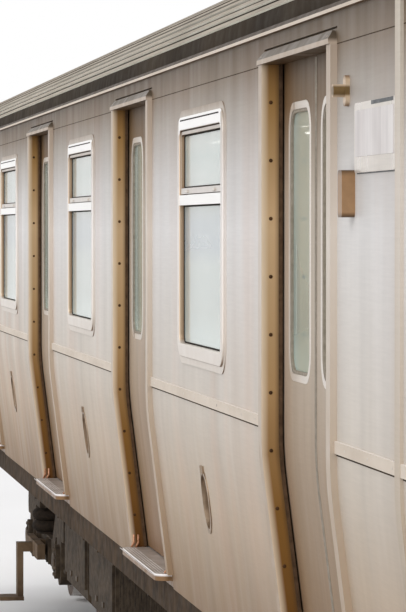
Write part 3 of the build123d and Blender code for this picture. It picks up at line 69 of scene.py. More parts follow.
# Roof: a wide crown between two shoulders, with ribs that stand on both
ROOF_Z = EAVE_Z + 0.53
SHOULDER_RADIUS = 0.23
SHOULDER_Y = SIDE_Y - 0.01 - SHOULDER_RADIUS
RISE = ROOF_Z - EAVE_Z
CROWN_RADIUS = (SHOULDER_Y**2 + RISE**2 - SHOULDER_RADIUS**2) / (2 * (RISE - SHOULDER_RADIUS))
CROWN_Y = CROWN_RADIUS * SHOULDER_Y / (CROWN_RADIUS - SHOULDER_RADIUS)
RIB_FOOT, RIB_TOP = 0.0045, 0.0062

# Windows: a fixed pane below a bar, and a hopper sash above it
WINDOW_CENTRES = [DOOR_SPACING * step for step in (1, 0, -1)]
WINDOW_Z0, WINDOW_Z1 = FLOOR_Z + 0.975, HEAD_Z - 0.153
BAR_Z0, BAR_Z1 = HEAD_Z - 0.434, HEAD_Z - 0.396
SASH_FOOT = 0.026
SASH_RAIL = 0.016
WINDOW_OPENING = 1.17
WINDOW_INNER = 0.6
PANE_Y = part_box("window_glass")[1][1]

# Sides, ways along the car and ends, with their signs
SIDES = (("left", 1), ("right", -1))
WAYS = (("fore", 1), ("aft", -1))
ENDS = (("front", 1), ("rear", -1))
BOTH = (-1, 1)

# How far a piece sinks into what carries it, and how its edges are softened
SUNK = 0.001
SOFT_EDGE = 0.0015
FINE_EDGE = 0.0005
HAIR_EDGE = 0.0003

# Camera, from the photograph's vanishing point and heights
CAMERA_PLACE = (17.75, -3.2, FLOOR_Z + 1.405)
CAMERA_YAW = math.radians(7.41)
CAMERA_PITCH = math.radians(-1.2)
CAMERA_LENS = 216.2
CAMERA_REACH = 200.0
SENSOR = 36.0


def rgb(red, green, blue):
    """Colour written as it shows on a screen, from 0 to 255."""
    return tuple(
        value / 12.92 if value <= 0.04045 else ((value + 0.055) / 1.055) ** 2.4
        for value in (red / 255, green / 255, blue / 255)
    )


def side_y(depth, z):
    """Distance from the centreline to the face a given depth inside the side's outer face."""
    angle = math.atan2(LEAN, BEND_Z - FLOOR_Z)
    tangent = BEND_RADIUS * math.tan(angle / 2)
    below = BEND_Z + tangent - z
    if below <= 0:
        inset = 0.0
    elif z > BEND_Z - tangent * math.cos(angle):
        inset = BEND_RADIUS - math.sqrt(BEND_RADIUS**2 - below**2)
    else:
        inset = LEAN * (BEND_Z - z) / (BEND_Z - FLOOR_Z)
    return SIDE_Y - depth - inset


# Usual span of a noise, and how noises are drawn out
LOW, HIGH = 0.3, 0.7
NARROW = 0.35
EVEN = (1, 1, 1)
STREAKED = (1, 1, 0.05)
SMEARED = (1, 1, 0.2)
BRUSHED = (0.04, 0.04, 1)
BRUSH_SCALE = 160
AT_DOORWAYS, AT_BAYS = 0, DOOR_SPACING / 2


class Paint:
    """Builds one procedural material, node by node."""

    def __init__(self, name, **sockets):
        self.material = bpy.data.materials.new(f"{name}_mat")
        self.material.use_nodes = True
        self.nodes = self.material.node_tree.nodes
        self.links = self.material.node_tree.links
        self.shader = self.nodes["Principled BSDF"]
        for socket, value in sockets.items():
            self.put(socket.replace("_", " "), value)
        self.place = self.nodes.new("ShaderNodeTexCoord").outputs["Object"]

    def plug(self, value, socket):
        """Puts a number, a colour or another node's output at a socket."""
        if isinstance(value, bpy.types.NodeSocket):
            self.links.new(value, socket)
        elif isinstance(value, tuple) and len(value) < len(socket.default_value):
            socket.default_value = (*value, 1)
        else:
            socket.default_value = value

    def put(self, name, value):
        """Puts a value at one of the shader's sockets."""
        self.plug(value, self.shader.inputs[name])

    def node(self, kind, **inputs):
        """New node with values at its sockets."""
        node = self.nodes.new(f"ShaderNode{kind}")
        for name, value in inputs.items():
            self.plug(value, node.inputs[name.replace("_", " ")])
        return node

    def noise(self, scale, stretch=EVEN, detail=3, roughness=0.5):
        """Noise between 0 and 1, drawn out along the axes whose stretch is small."""
        mapping = self.node("Mapping", Vector=self.place, Scale=stretch)
        sizes = {"Scale": scale, "Detail": detail, "Roughness": roughness}
        return self.node("TexNoise", Vector=mapping.outputs["Vector"], **sizes).outputs["Fac"]

    def axis(self, name):
        """One coordinate of the place on the object."""
        return self.node("SeparateXYZ", Vector=self.place).outputs[name]

    def normal(self, name):
        """One part of the surface's direction."""
        return self.node("SeparateXYZ", Vector=self.node("NewGeometry").outputs["Normal"]).outputs[name]

    def math(self, operation, first, second=0):
        """A math node on values or sockets."""
        node = self.node("Math")
        node.operation = operation
        self.plug(first, node.inputs[0])
        self.plug(second, node.inputs[1])
        return node.outputs["Value"]

    def size(self, value):
        """A value without its sign."""
        return self.math("ABSOLUTE", value)

    def less(self, first, second):
        """One value less another."""
        return self.math("SUBTRACT", first, second)

    def both(self, *values):
        """Product of values or masks."""
        product = values[0]
        for value in values[1:]:
            product = self.math("MULTIPLY", product, value)
        return product

    def ranged(self, value, low, high, out_low=0, out_high=1):
        """Maps a value from one range to another, held at the ends."""
        spans = {"From_Min": low, "From_Max": high, "To_Min": out_low, "To_Max": out_high}
        return self.node("MapRange", Value=value, **spans).outputs["Result"]

    def ramp(self, value, stops):
        """Colours along a value; stops are (place, colour)."""
        node = self.node("ValToRGB", Fac=value)
        ends = node.color_ramp.elements
        while len(ends) < len(stops):
            ends.new(0.5)
        for element, (place, color) in zip(ends, stops):
            element.position = place
            element.color = (*color, 1)
        return node.outputs["Color"]

    def two_tone(self, pattern, dark, light, edge=LOW):
        """Two colours along a pattern."""
        return self.ramp(pattern, [(edge, dark), (1 - edge, light)])

    def mix(self, factor, first, second, blend="MIX"):
        """Mixes two colours by a value or socket."""
        node = self.node("Mix")
        node.data_type = "RGBA"
        node.blend_type = blend
        colors = [socket for socket in node.inputs if socket.type == "RGBA"]
        for value, socket in zip((factor, first, second), (node.inputs["Factor"], *colors)):
            self.plug(value, socket)
        return [socket for socket in node.outputs if socket.type == "RGBA"][0]

    def aside(self):
        """Distance from the car's centreline."""
        return self.size(self.axis("Y"))

    def depth(self):
        """How far inside the side's outer face a place lies, the lean taken off."""
        below = self.math("MAXIMUM", self.less(BEND_Z, self.axis("Z")), 0)
        lean = self.both(below, LEAN / (BEND_Z - FLOOR_Z))
        return self.less(self.less(SIDE_Y, lean), self.aside())

    def along(self, start):
        """Distance along the car from the nearest doorway's or bay's middle."""
        place = self.math("FLOORED_MODULO", self.math("ADD", self.axis("X"), start), DOOR_SPACING)
        return self.size(self.less(place, DOOR_SPACING / 2))

    def inwards(self):
        """1 on faces that look towards the car's centreline."""
        return self.ranged(self.both(self.axis("Y"), self.normal("Y")), -0.1, -0.6)

    def outside(self, first, second, radius):
        """How far past a radius a place lies, from its two distances to the centre."""
        squares = self.math("ADD", self.both(first, first), self.both(second, second))
        return self.less(self.math("SQRT", squares), radius)

    def tones(self, stops):
        """Colour by height above the floor; stops are (metres, red, green, blue)."""
        low, high = stops[0][0], stops[-1][0]
        height = self.ranged(self.axis("Z"), FLOOR_Z + low, FLOOR_Z + high)
        return self.ramp(height, [((level - low) / (high - low), rgb(*color)) for level, *color in stops])

    def shade(self, color, pattern, depth):
        """Darkens a colour by up to a depth where a pattern is low."""
        return self.mix(1, color, self.two_tone(pattern, (1 - depth,) * 3, (1, 1, 1)), "MULTIPLY")

    def brush(self, color, depth):
        """Fine brushing along the car."""
        return self.shade(color, self.noise(BRUSH_SCALE, BRUSHED, detail=2), depth)

    def worn(self, scale, low, high, stretch=EVEN):
        """Lets the roughness wander between two values."""
        self.put("Roughness", self.ranged(self.noise(scale, stretch), LOW, HIGH, low, high))

    def bump(self, height, strength, distance):
        """Raises the surface by a height."""
        node = self.node("Bump", Height=height, Strength=strength, Distance=distance)
        self.put("Normal", node.outputs["Normal"])


CREAM = (226, 222, 208)
CREAM_SHADE = (206, 200, 184)
TINTS = ((0.35, (1.0, 0.94, 0.91)), (0.5, (1.0, 1.0, 1.0)), (0.65, (0.98, 0.98, 0.97)))

# Tones by height above the floor: a warm painted reflection and painted shade at the foot, clean steel in the
# middle, painted shade under the eave
SHEET_TONES = (
    (-0.06, 142, 116, 88), (0.1, 162, 139, 114), (0.4, 194, 175, 154), (0.75, 210, 200, 188),
    (1.4, 228, 225, 223), (1.6, 212, 208, 205), (1.8, 176, 167, 158), (1.925, 130, 114, 97),
    (2.0, 100, 83, 64),
)
END_TONES = (
    (-0.06, 140, 118, 94), (0.15, 170, 150, 128), (0.5, 200, 184, 166), (0.9, 214, 206, 197),
    (1.4, 222, 218, 214), (2.0, 200, 193, 185), (2.5, 160, 150, 138),
)
# Door leaves: a warm painted reflection at the foot, and the hood's painted shadow at the top
LEAF_TONES = (
    (0.0, 134, 105, 78), (0.3, 150, 125, 99), (0.7, 170, 150, 129), (1.1, 190, 176, 160),
    (1.5, 188, 175, 159), (1.8, 116, 93, 67), (1.98, 86, 66, 44),
)
# Door reveals: golden brown, a painted reflection of warm light, darker at the foot and in the hood's painted
# shadow at the top
JAMB_TONES = (
    (0.0, 104, 66, 24), (0.5, 134, 96, 46), (0.9, 172, 139, 96), (1.4, 198, 168, 130), (1.8, 164, 127, 76),
    (1.93, 144, 106, 60),
)
FRAME_TONES = ((0.0, 162, 138, 112), (0.7, 186, 170, 152), (1.4, 210, 199, 187), (1.92, 178, 161, 144))
STRIP_TONES = ((0.0, 170, 150, 124), (0.8, 206, 192, 174), (1.5, 222, 212, 200), (1.95, 206, 196, 180))
# Glass: pale bands of painted reflection, for the side windows and the door leaves
GLASS_TONES = (
    (0.97, 226, 240, 236), (1.1, 214, 224, 219), (1.27, 212, 222, 218), (1.34, 198, 209, 214),
    (1.43, 202, 212, 216), (1.5, 216, 226, 221), (1.6, 218, 227, 223), (1.67, 206, 218, 214),
    (1.76, 222, 228, 221),
)
LEAF_GLASS_TONES = ((0.95, 208, 226, 216), (1.1, 182, 198, 189), (1.5, 190, 202, 192), (1.78, 196, 207, 197))
# Side lamps: darker ends, partly painted shade, and bright bands of painted highlight
LAMP_TONES = (
    (1.437, 84, 60, 38), (1.452, 158, 124, 90), (1.55, 150, 116, 82), (1.567, 84, 60, 38),
    (1.745, 128, 98, 68), (1.758, 206, 184, 158), (1.772, 198, 174, 146), (1.778, 112, 88, 52),
    (1.798, 112, 88, 52), (1.804, 206, 184, 158), (1.818, 200, 176, 148), (1.831, 128, 98, 68),
)


def lining(paint):
    """Colour of the cream panels inside."""
    return paint.two_tone(paint.noise(3, detail=4), rgb(*CREAM_SHADE), rgb(*CREAM))


def sheet(name, tones, streak=4, metallic=0.3, lined=True):
    """Stainless sheet: tones by height, upright streaks of painted reflection, fine brushing, and a cream
    lining inside.
    """
    paint = Paint(name, Metallic=metallic, Specular_IOR_Level=0.1)
    # Upright streaks of painted reflection
    base = paint.shade(paint.tones(tones), paint.noise(streak, STREAKED), 0.14)
    base = paint.shade(base, paint.noise(0.9, (1, 1, 0.6)), 0.1)
    tint = paint.ramp(paint.noise(2.2, (1, 1, 0.12), detail=2), TINTS)
    base = paint.brush(paint.mix(1, base, tint, "MULTIPLY"), 0.05)
    if lined:
        inside = paint.inwards()
        base = paint.mix(inside, base, lining(paint))
        paint.put("Metallic", paint.ranged(inside, 0, 1, metallic, 0))
    paint.put("Base Color", base)
    paint.worn(9, 0.42, 0.56, SMEARED)
    paint.bump(paint.noise(3, (1, 1, 0.35), detail=1), 0.25, 0.004)
    return paint.material


def steel(name, light, dark, roughness=(0.3, 0.5), metallic=0.7, streak=3):
    """Bare steel in one tone, with soft streaks and fine brushing."""
    paint = Paint(name, Metallic=metallic)
    base = paint.two_tone(paint.noise(streak, (1, 1, 0.06), detail=4), rgb(*dark), rgb(*light), NARROW)
    paint.put("Base Color", paint.brush(base, 0.08))
    paint.worn(9, *roughness, SMEARED)
    return paint.material


def dull(name, light, dark, roughness=0.6, metallic=0, gloss=0.25, scale=8):
    """Painted, cast or moulded surface with blotchy dirt."""
    paint = Paint(name, Metallic=metallic, Specular_IOR_Level=gloss)
    blotches = paint.noise(scale, detail=6, roughness=0.6)
    paint.put("Base Color", paint.two_tone(blotches, rgb(*dark), rgb(*light), NARROW))
    paint.worn(scale * 2.5, roughness - 0.1, roughness + 0.12)
    paint.bump(paint.noise(scale * 12), 0.4, 0.0015)
    return paint.material


def glass(name, tones):
    """Tinted safety glass: part clear, with a pale colour in soft bands of painted reflection and a clean
    gloss.
    """
    paint = Paint(name, Alpha=0.7)
    smear = paint.noise(2.5, (0.3, 1, 1))
    paint.put("Base Color", paint.shade(paint.tones(tones), smear, 0.1))
    paint.put("Roughness", paint.ranged(smear, 0.3, 0.8, 0.03, 0.11))
    return paint.material


def glow(name, color, strength):
    """Lit diffuser or lens."""
    paint = Paint(name, Roughness=0.4, Emission_Strength=strength)
    tone = paint.two_tone(paint.noise(30, detail=2), tuple(0.94 * part for part in color), color)
    paint.put("Base Color", tone)
    paint.put("Emission Color", tone)
    return paint.material


def frame_steel():
    """Door frame: pale face; golden-brown reveals in painted reflection, with painted shade towards the leaf;
    a painted dark reflection and soot on the hood, painted shade beneath.
    """
    paint = Paint("door_frame", Metallic=0.3, Specular_IOR_Level=0.2)
    streaks, depth, up = paint.noise(9, STREAKED), paint.depth(), paint.normal("Z")
    # Reveals: golden-brown painted reflection, with a painted highlight at the outer edge and painted shade
    # deeper towards the leaf
    brown = paint.mix(paint.ranged(depth, 0.004, -0.018), paint.tones(JAMB_TONES), rgb(226, 206, 180))
    brown = paint.mix(paint.ranged(depth, 0.022, SKIN), brown, rgb(84, 62, 40))
    brown = paint.shade(paint.shade(brown, streaks, 0.1), paint.noise(5, (1, 1, 0.4)), 0.12)
    facing = paint.ranged(paint.size(paint.normal("X")), 0.45, 0.75)
    reveal = paint.both(facing, paint.ranged(paint.along(AT_DOORWAYS), HALF_DOOR + 0.024, HALF_DOOR + 0.02))
    pale = paint.shade(paint.tones(FRAME_TONES), streaks, 0.1)
    # Painted dark reflection and soot on the upward faces of the hood
    pale = paint.mix(paint.ranged(up, 0.2, 0.5), pale, rgb(92, 80, 66))
    color = paint.mix(reveal, pale, brown)
    # Painted shade on downward faces
    paint.put("Base Color", paint.mix(paint.ranged(up, -0.5, -0.9), color, rgb(74, 54, 34)))
    paint.worn(10, 0.35, 0.55)
    paint.bump(paint.noise(4, (1, 1, 0.3), detail=2), 0.3, 0.003)
    return paint.material


def window_steel():
    """Window frame: a painted highlight on the rails across, brown reveals in painted reflection and shade,
    and uprights and flange in the tone of the side, with painted shade above and beneath.
    """
    paint = Paint("window_frame", Metallic=0.35, Specular_IOR_Level=0.3)
    depth, height, along = paint.depth(), paint.axis("Z"), paint.along(AT_BAYS)
    tone = paint.tones(SHEET_TONES)
    # Painted highlight: near white along the top rail and across the bar
    across = paint.ranged(along, WINDOW_OPENING / 2 + 0.012, WINDOW_OPENING / 2)
    top = paint.ranged(height, WINDOW_Z1 - 0.02, WINDOW_Z1 - 0.01)
    over = paint.ranged(height, BAR_Z0 - 0.002, BAR_Z0)
    under = paint.ranged(height, BAR_Z1 + 0.032, BAR_Z1 + 0.03)
    bright = paint.both(across, paint.math("MAXIMUM", top, paint.both(over, under)))
    face = paint.mix(bright, paint.mix(0.25, tone, rgb(216, 202, 188)), rgb(250, 248, 245))
    # Flange: the side's tone with a brown painted reflection, and painted shade above the window
    painted_shade_above = paint.ranged(height, WINDOW_Z1 + 0.052, WINDOW_Z1 + 0.08)
    flange = paint.mix(painted_shade_above, paint.mix(0.3, tone, rgb(190, 172, 152)), rgb(140, 116, 92))
    outer = paint.mix(paint.ranged(depth, -0.006, -0.008), flange, face)
    # Reveals: brown painted reflection, darkening with painted shade further in
    browns = ((0, rgb(224, 204, 182)), (0.4, rgb(176, 150, 124)), (1, rgb(128, 104, 80)))
    brown = paint.ramp(paint.ranged(depth, -0.012, 0.012), browns)
    facing = paint.ranged(paint.size(paint.normal("X")), 0.4, 0.8)
    inner = paint.both(facing, paint.ranged(along, WINDOW_INNER + 0.004, WINDOW_INNER))
    color = paint.shade(paint.mix(inner, outer, brown), paint.noise(2, (0.3, 1, 1), detail=2), 0.05)
    # Painted shade on downward faces
    paint.put("Base Color", paint.mix(paint.ranged(paint.normal("Z"), -0.5, -0.9), color, rgb(118, 92, 68)))
    paint.worn(10, 0.3, 0.42)
    return paint.material


def rail_steel():
    """Belt and drip rails: pale fronts, a painted highlight on the belt's upper edge, a painted dark
    reflection and soot on the drip rail's slope, painted shade beneath.
    """
    paint = Paint("rail", Metallic=0.2, Specular_IOR_Level=0.1)
    up = paint.normal("Z")
    front = paint.two_tone(paint.noise(6, (0.2, 1, 1), detail=5), rgb(196, 182, 166), rgb(216, 204, 190))
    # Painted highlight on the belt's upper edge; painted dark reflection and soot on the drip rail's slope
    high = paint.ranged(paint.axis("Z"), EAVE_Z - 0.05, EAVE_Z - 0.04)
    top = paint.mix(high, rgb(240, 233, 226), rgb(62, 48, 34))
    color = paint.mix(paint.ranged(up, 0.1, 0.4), front, top)
    # Painted shade on downward faces
    paint.put("Base Color", paint.mix(paint.ranged(up, -0.4, -0.8), color, rgb(104, 80, 58)))
    paint.worn(10, 0.45, 0.6)
    return paint.material


def roof_steel():
    """Ribbed roof: dull bright ribs over grooves darkened with soot and painted shade, a shoulder band
    darkened the same way, and a cream ceiling below.
    """
    paint = Paint("roof", Specular_IOR_Level=0.08)
    y, z = paint.aside(), paint.axis("Z")
    crown = paint.outside(y, paint.less(z, ROOF_Z - CROWN_RADIUS), CROWN_RADIUS)
    shoulder = paint.outside(paint.less(y, SHOULDER_Y), paint.less(z, EAVE_Z), SHOULDER_RADIUS)
    past = paint.math("GREATER_THAN", y, CROWN_Y)
    lift = paint.math("ADD", crown, paint.both(past, paint.less(shoulder, crown)))
    blotches = paint.noise(1.2, detail=5)
    bright = paint.two_tone(paint.noise(5, (0.05, 1, 1), detail=5), rgb(158, 147, 132), rgb(196, 186, 172))
    # Soot and painted shade in the grooves and on the shoulder band
    soot_and_shade = paint.two_tone(blotches, rgb(34, 26, 17), rgb(56, 46, 34))
    ribbed = paint.mix(paint.ranged(lift, RIB_FOOT, RIB_TOP), soot_and_shade, paint.shade(bright, blotches, 0.25))
    ceiling = paint.ranged(paint.normal("Z"), -0.3, -0.6)
    paint.put("Base Color", paint.mix(ceiling, ribbed, lining(paint)))
    paint.worn(12, 0.7, 0.9)
    return paint.material


def plate_steel():
    """Threshold plates: worn grey tread with a painted highlight along the outer edge, brown below."""
    paint = Paint("tread", Metallic=0.2, Specular_IOR_Level=0.2)
    worn = paint.two_tone(paint.noise(14, (0.5, 1, 1), detail=5), rgb(152, 140, 130), rgb(186, 177, 170))
    # Painted highlight along the upper part of the outer edge, brown below it
    rim = paint.ranged(paint.axis("Z"), FLOOR_Z - 0.012, FLOOR_Z - 0.004)
    edge = paint.mix(rim, rgb(128, 98, 68), rgb(244, 240, 238))
    paint.put("Base Color", paint.mix(paint.ranged(paint.normal("Z"), 0.8, 0.4), worn, edge))
    paint.worn(14, 0.3, 0.5)
    paint.bump(paint.noise(60, (0.2, 1, 1), detail=2), 0.3, 0.0008)
    return paint.material


TREAD_INNER, TREAD_OUTER = 0.68, 0.815


def wheel_steel():
    """Rusty forged wheel with a bright running surface."""
    paint = Paint("wheel", Metallic=0.5)
    rust = paint.two_tone(paint.noise(18, detail=6), rgb(58, 45, 36), rgb(90, 72, 58))
    bright = paint.two_tone(paint.noise(60, (1, 0.1, 1)), rgb(170, 165, 160), rgb(205, 200, 195))
    y, sideways = paint.aside(), paint.normal("Y")
    far = paint.ranged(y, TREAD_INNER - 0.001, TREAD_INNER + 0.001)
    near = paint.ranged(y, TREAD_OUTER + 0.001, TREAD_OUTER - 0.001)
    running = paint.both(paint.ranged(paint.both(sideways, sideways), 0.75, 0.5), far, near)
    paint.put("Base Color", paint.mix(running, rust, bright))
    paint.put("Roughness", paint.ranged(running, 0, 1, 0.7, 0.25))
    paint.bump(paint.noise(90, detail=4), 0.3, 0.001)
    return paint.material


def sign_panel():
    """Blank face of a sign: pale, with faint upright strips and smears."""
    paint = Paint("sign", Roughness=0.35, Specular_IOR_Level=0.3)
    tone = paint.two_tone(paint.noise(6, (1, 1, 0.6)), rgb(198, 190, 187), rgb(216, 210, 207), NARROW)
    paint.put("Base Color", paint.shade(tone, paint.noise(30, (1, 1, 0.04), detail=1), 0.12))
    return paint.material


def marker_painted_shading():
    """Side lamps: brown tones by height, with darker ends partly in painted shade, bright bands of painted
    highlight, and a dark middle on the upper marker.
    """
    paint = Paint("marker", Metallic=0.2, Roughness=0.4, Specular_IOR_Level=0.3)
    paint.put("Base Color", paint.shade(paint.tones(LAMP_TONES), paint.noise(40), 0.15))
    return paint.material


SIDE_STEEL = sheet("side_steel", SHEET_TONES)
LEAF_STEEL = sheet("leaf_steel", LEAF_TONES, streak=9, metallic=0.2)
END_STEEL = sheet("end_steel", END_TONES)
STRIP = sheet("end_strip", STRIP_TONES, lined=False)
BRIGHT_STEEL = steel("bright_steel", (220, 212, 203), (202, 193, 183), (0.25, 0.4), metallic=0.5)
# Step cups: brown, a painted shade of the recess
CUP_STEEL = steel("cup_steel", (176, 156, 134), (128, 106, 84), (0.35, 0.5), streak=30)
TUBE = steel("tube", (226, 226, 226), (204, 204, 204), (0.12, 0.2), metallic=1, streak=20)
GLASS = glass("window_glass", GLASS_TONES)
LEAF_GLASS = glass("leaf_glass", LEAF_GLASS_TONES)
DARK = dull("dark_steel", (74, 58, 42), (44, 34, 24), 0.8, gloss=0.1)
DUSTY = dull("dusty_black", (78, 66, 53), (46, 38, 30), 0.8, gloss=0.15, scale=14)
CAST = dull("cast_steel", (88, 74, 60), (52, 43, 34), metallic=0.4, scale=20)
RUBBER = dull("rubber", (44, 35, 27), (26, 21, 16), 0.8, gloss=0.1, scale=40)
BROWN_RUBBER = dull("brown_rubber", (88, 68, 50), (62, 46, 32), 0.8, gloss=0.1, scale=40)
PALE_RUBBER = dull("pale_rubber", (148, 138, 124), (126, 116, 102), scale=40)
SCREW = dull("screw", (84, 56, 30), (56, 36, 18), 0.5, metallic=0.5, scale=60)
# Jamb toes: copper tone, a warm painted reflection
COPPER_REFLECTION = dull("copper_reflection", (206, 156, 124), (142, 94, 62), 0.4, metallic=0.2, scale=40)
PANEL = dull("lining_panel", CREAM, CREAM_SHADE, 0.4, scale=3)
DESK = dull("desk", (96, 98, 100), (74, 76, 78), 0.5, scale=10)
FLOORING = dull("flooring", (100, 96, 92), (72, 69, 66), 0.55, scale=60)
SEAT = dull("seat", (206, 140, 78), (188, 122, 62), 0.35, scale=5)
WOOD = dull("beam", (104, 84, 62), (70, 54, 38), 0.7, scale=6)
LIGHT = glow("ceiling_light", (1.0, 0.99, 0.94), 6)
HEADLAMP = glow("headlamp", (0.9, 0.88, 0.8), 0.3)
TAIL_LAMP = glow("tail_lamp", (0.5, 0.02, 0.015), 0.2)
SIGN = sign_panel()
MARKER = marker_painted_shading()
TREAD = plate_steel()

# Finishes of the solids, by the beginning of their names
FINISHES = {
    "side_wall": SIDE_STEEL, "letterboards": SIDE_STEEL, "side_rails": rail_steel(), "roof": roof_steel(),
    "step_cups": CUP_STEEL, "door_frames": frame_steel(), "threshold_plates": TREAD,
    "window_frames": window_steel(), "window_glass": GLASS, "end_wall": END_STEEL, "end_handrails": TUBE,
    "signs": BRIGHT_STEEL, "cab_desk": DESK, "floor": FLOORING, "grab_poles": TUBE, "ceiling_lights": LIGHT,
    "underframe": DARK, "anticlimbers": DARK, "centre_pins": DARK, "coupler": CAST, "equipment_boxes": DUSTY,
    "bogie_frame": DUSTY, "air_springs": RUBBER, "traction_motors": CAST, "collector_shoes": WOOD,
    "wheelset": wheel_steel(),
}

# Domed head: how high each ring stands, and its share of the radius
DOME = ((-0.2, 1.0), (0.55, 1.0), (0.9, 0.8), (1.0, 0.45))


class Form:
    """Gathers closed mesh forms, in metres, and makes one piece of them."""

    def __init__(self, *sides):
        self.mesh = bmesh.new()
        self.sides = sides or (1,)

    def add(self, rings, closed=True):
        """Joins rings of as many points each, on each side; a closed form gets a face at each end."""
        for side in self.sides:
            rows = [[self.mesh.verts.new((x, side * y, z)) for x, y, z in ring] for ring in rings]
            count = len(rows[0])
            for row, following in zip(rows, rows[1:]):
                for place in range(count):
                    other = (place + 1) % count
                    self.mesh.faces.new((row[place], row[other], following[other], following[place]))
            if closed:
                self.mesh.faces.new(reversed(rows[0]))
                self.mesh.faces.new(rows[-1])
            else:
                bmesh.ops.remove_doubles(self.mesh, verts=rows[0] + rows[-1], dist=1e-7)

    def block(self, x0, x1, y0, y1, z0, z1, edge=SOFT_EDGE):
        """Block between two places on each axis, in either order, with softened edges."""
        half = Vector((abs(x1 - x0) / 2, abs(y1 - y0) / 2, abs(z1 - z0) / 2))
        edge = min(edge, 0.4 * min(half))
        for side in self.sides:
            middle = Vector(((x0 + x1) / 2, side * (y0 + y1) / 2, (z0 + z1) / 2))
            place = Matrix.Translation(middle) @ Matrix.Diagonal((*half, 1))
            made = bmesh.ops.create_cube(self.mesh, size=2.0, matrix=place)
            edges = {line for vert in made["verts"] for line in vert.link_edges}
            bmesh.ops.bevel(self.mesh, geom=list(edges), offset=edge, segments=1, affect="EDGES", profile=0.5)

    def plate(self, place, size, edge=SOFT_EDGE):
        """Block about a place: half its length along the car, then its spans across it and upwards."""
        x, y, z = place
        half, y0, y1, z0, z1 = size
        self.block(x - half, x + half, y + y0, y + y1, z + z0, z + z1, edge)

    def knob(self, place, axis, radius, height, sides=10):
        """Domed screw head or button, standing on a face along an axis (X, Y or Z with its sign)."""
        toward = Vector(axis)
        across = Vector((0, 0, 1)) if abs(toward.z) < 0.5 else Vector((1, 0, 0))
        spokes = circle(across, toward, sides)
        levels = [(Vector(place) + toward * height * rise, radius * share) for rise, share in DOME]
        self.add([[middle + spoke * reach for spoke in spokes] for middle, reach in levels])

    def tube(self, points, radius, sides=10):
        """Round tube through points."""
        points = [Vector(point) for point in points]
        rings = []
        across = None
        for number, point in enumerate(points):
            before = points[max(0, number - 1)]
            after = points[min(len(points) - 1, number + 1)]
            toward = (after - before).normalized()
            if across is None:
                across = toward.orthogonal().normalized()
            across = (across - toward * across.dot(toward)).normalized()
            rings.append([point + radius * spoke for spoke in circle(across, toward, sides)])
        self.add(rings)

    def helix(self, x, y, low, high, radius, wire, turns, sides=7, steps=14):
        """Upright coil spring."""
        count = int(turns * steps)
        points = []
        for step in range(count + 1):
            angle = 2 * math.pi * step / steps
            z = low + wire + (high - low - 2 * wire) * step / count
            points.append((x + radius * math.cos(angle), y + radius * math.sin(angle), z))
        self.tube(points, wire, sides)

    def band(self, outline, insets, place, near, far, across="Y", soft=SUNK):
        """Flat ring between two insets of a rounded outline, from near to far, its edges softened."""
        outer, inner = [shrunk(outline, inset) for inset in insets]
        steps = (
            (outer, near), (outer, far - soft), (shrunk(outer, soft), far), (shrunk(inner, -soft), far),
            (inner, far - soft), (inner, near), (outer, near),
        )
        rings = []
        for edge, level in steps:
            points = [(place[0] + u, place[1] + v) for u, v in rounded(edge)]
            rings.append([(u, level, v) if across == "Y" else (level, u, v) for u, v in points])
        self.add(rings, closed=False)

    def upright(self, x0, x1, out, back, z0, z1, steps=24):
        """Strip that follows the bent side, between two distances from its face."""
        rings = []
        for step in range(steps + 1):
            z = z0 + (z1 - z0) * step / steps
            front, rear = side_y(-out, z), side_y(back, z)
            rings.append([(x0, rear, z), (x1, rear, z), (x1, front, z), (x0, front, z)])
        self.add(rings)

    def make(self, name, material, body, slot, smooth=35):
        """Turns the gathered forms into a piece that rides on a body."""
        bmesh.ops.recalc_face_normals(self.mesh, faces=self.mesh.faces)
        mesh = bpy.data.meshes.new(name)
        self.mesh.to_mesh(mesh)
        self.mesh.free()
        return as_piece(name, mesh, material, body, smooth)


def circle(across, toward, sides):
    """Spokes of a circle about an axis, from the first of them."""
    other = toward.cross(across)
    angles = [2 * math.pi * step / sides for step in range(sides)]
    return [across * math.cos(angle) + other * math.sin(angle) for angle in angles]


def forms(count, *sides):
    """Several empty forms for the same sides."""
    return [Form(*sides) for _ in range(count)]


def as_piece(name, mesh, material, body, smooth=35):
    """Object of a mesh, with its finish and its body."""
    mesh.materials.clear()
    mesh.materials.append(material)
    mesh.shade_smooth()
    mesh.set_sharp_from_angle(angle=math.radians(smooth))
    piece = bpy.data.objects.new(name, mesh)
    bpy.context.scene.collection.objects.link(piece)
    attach(piece, body)
    return piece


def shrunk(outline, inset):
    """A rounded outline (width, height, radii of its lower and upper corners), set in all round."""
    width, height, low, high = outline
    return width - 2 * inset, height - 2 * inset, max(FINE_EDGE, low - inset), max(FINE_EDGE, high - inset)


def rounded(outline, steps=6):
    """Points of a rounded outline about its middle."""
    width, height, low, high = outline
    points = []
    for corner, (way_x, way_z) in enumerate(((1, 1), (-1, 1), (-1, -1), (1, -1))):
        radius = high if way_z > 0 else low
        for step in range(steps + 1):
            angle = math.pi / 2 * (corner + step / steps)
            x = way_x * (width / 2 - radius) + radius * math.cos(angle)
            z = way_z * (height / 2 - radius) + radius * math.sin(angle)
            points.append((x, z))
    return points


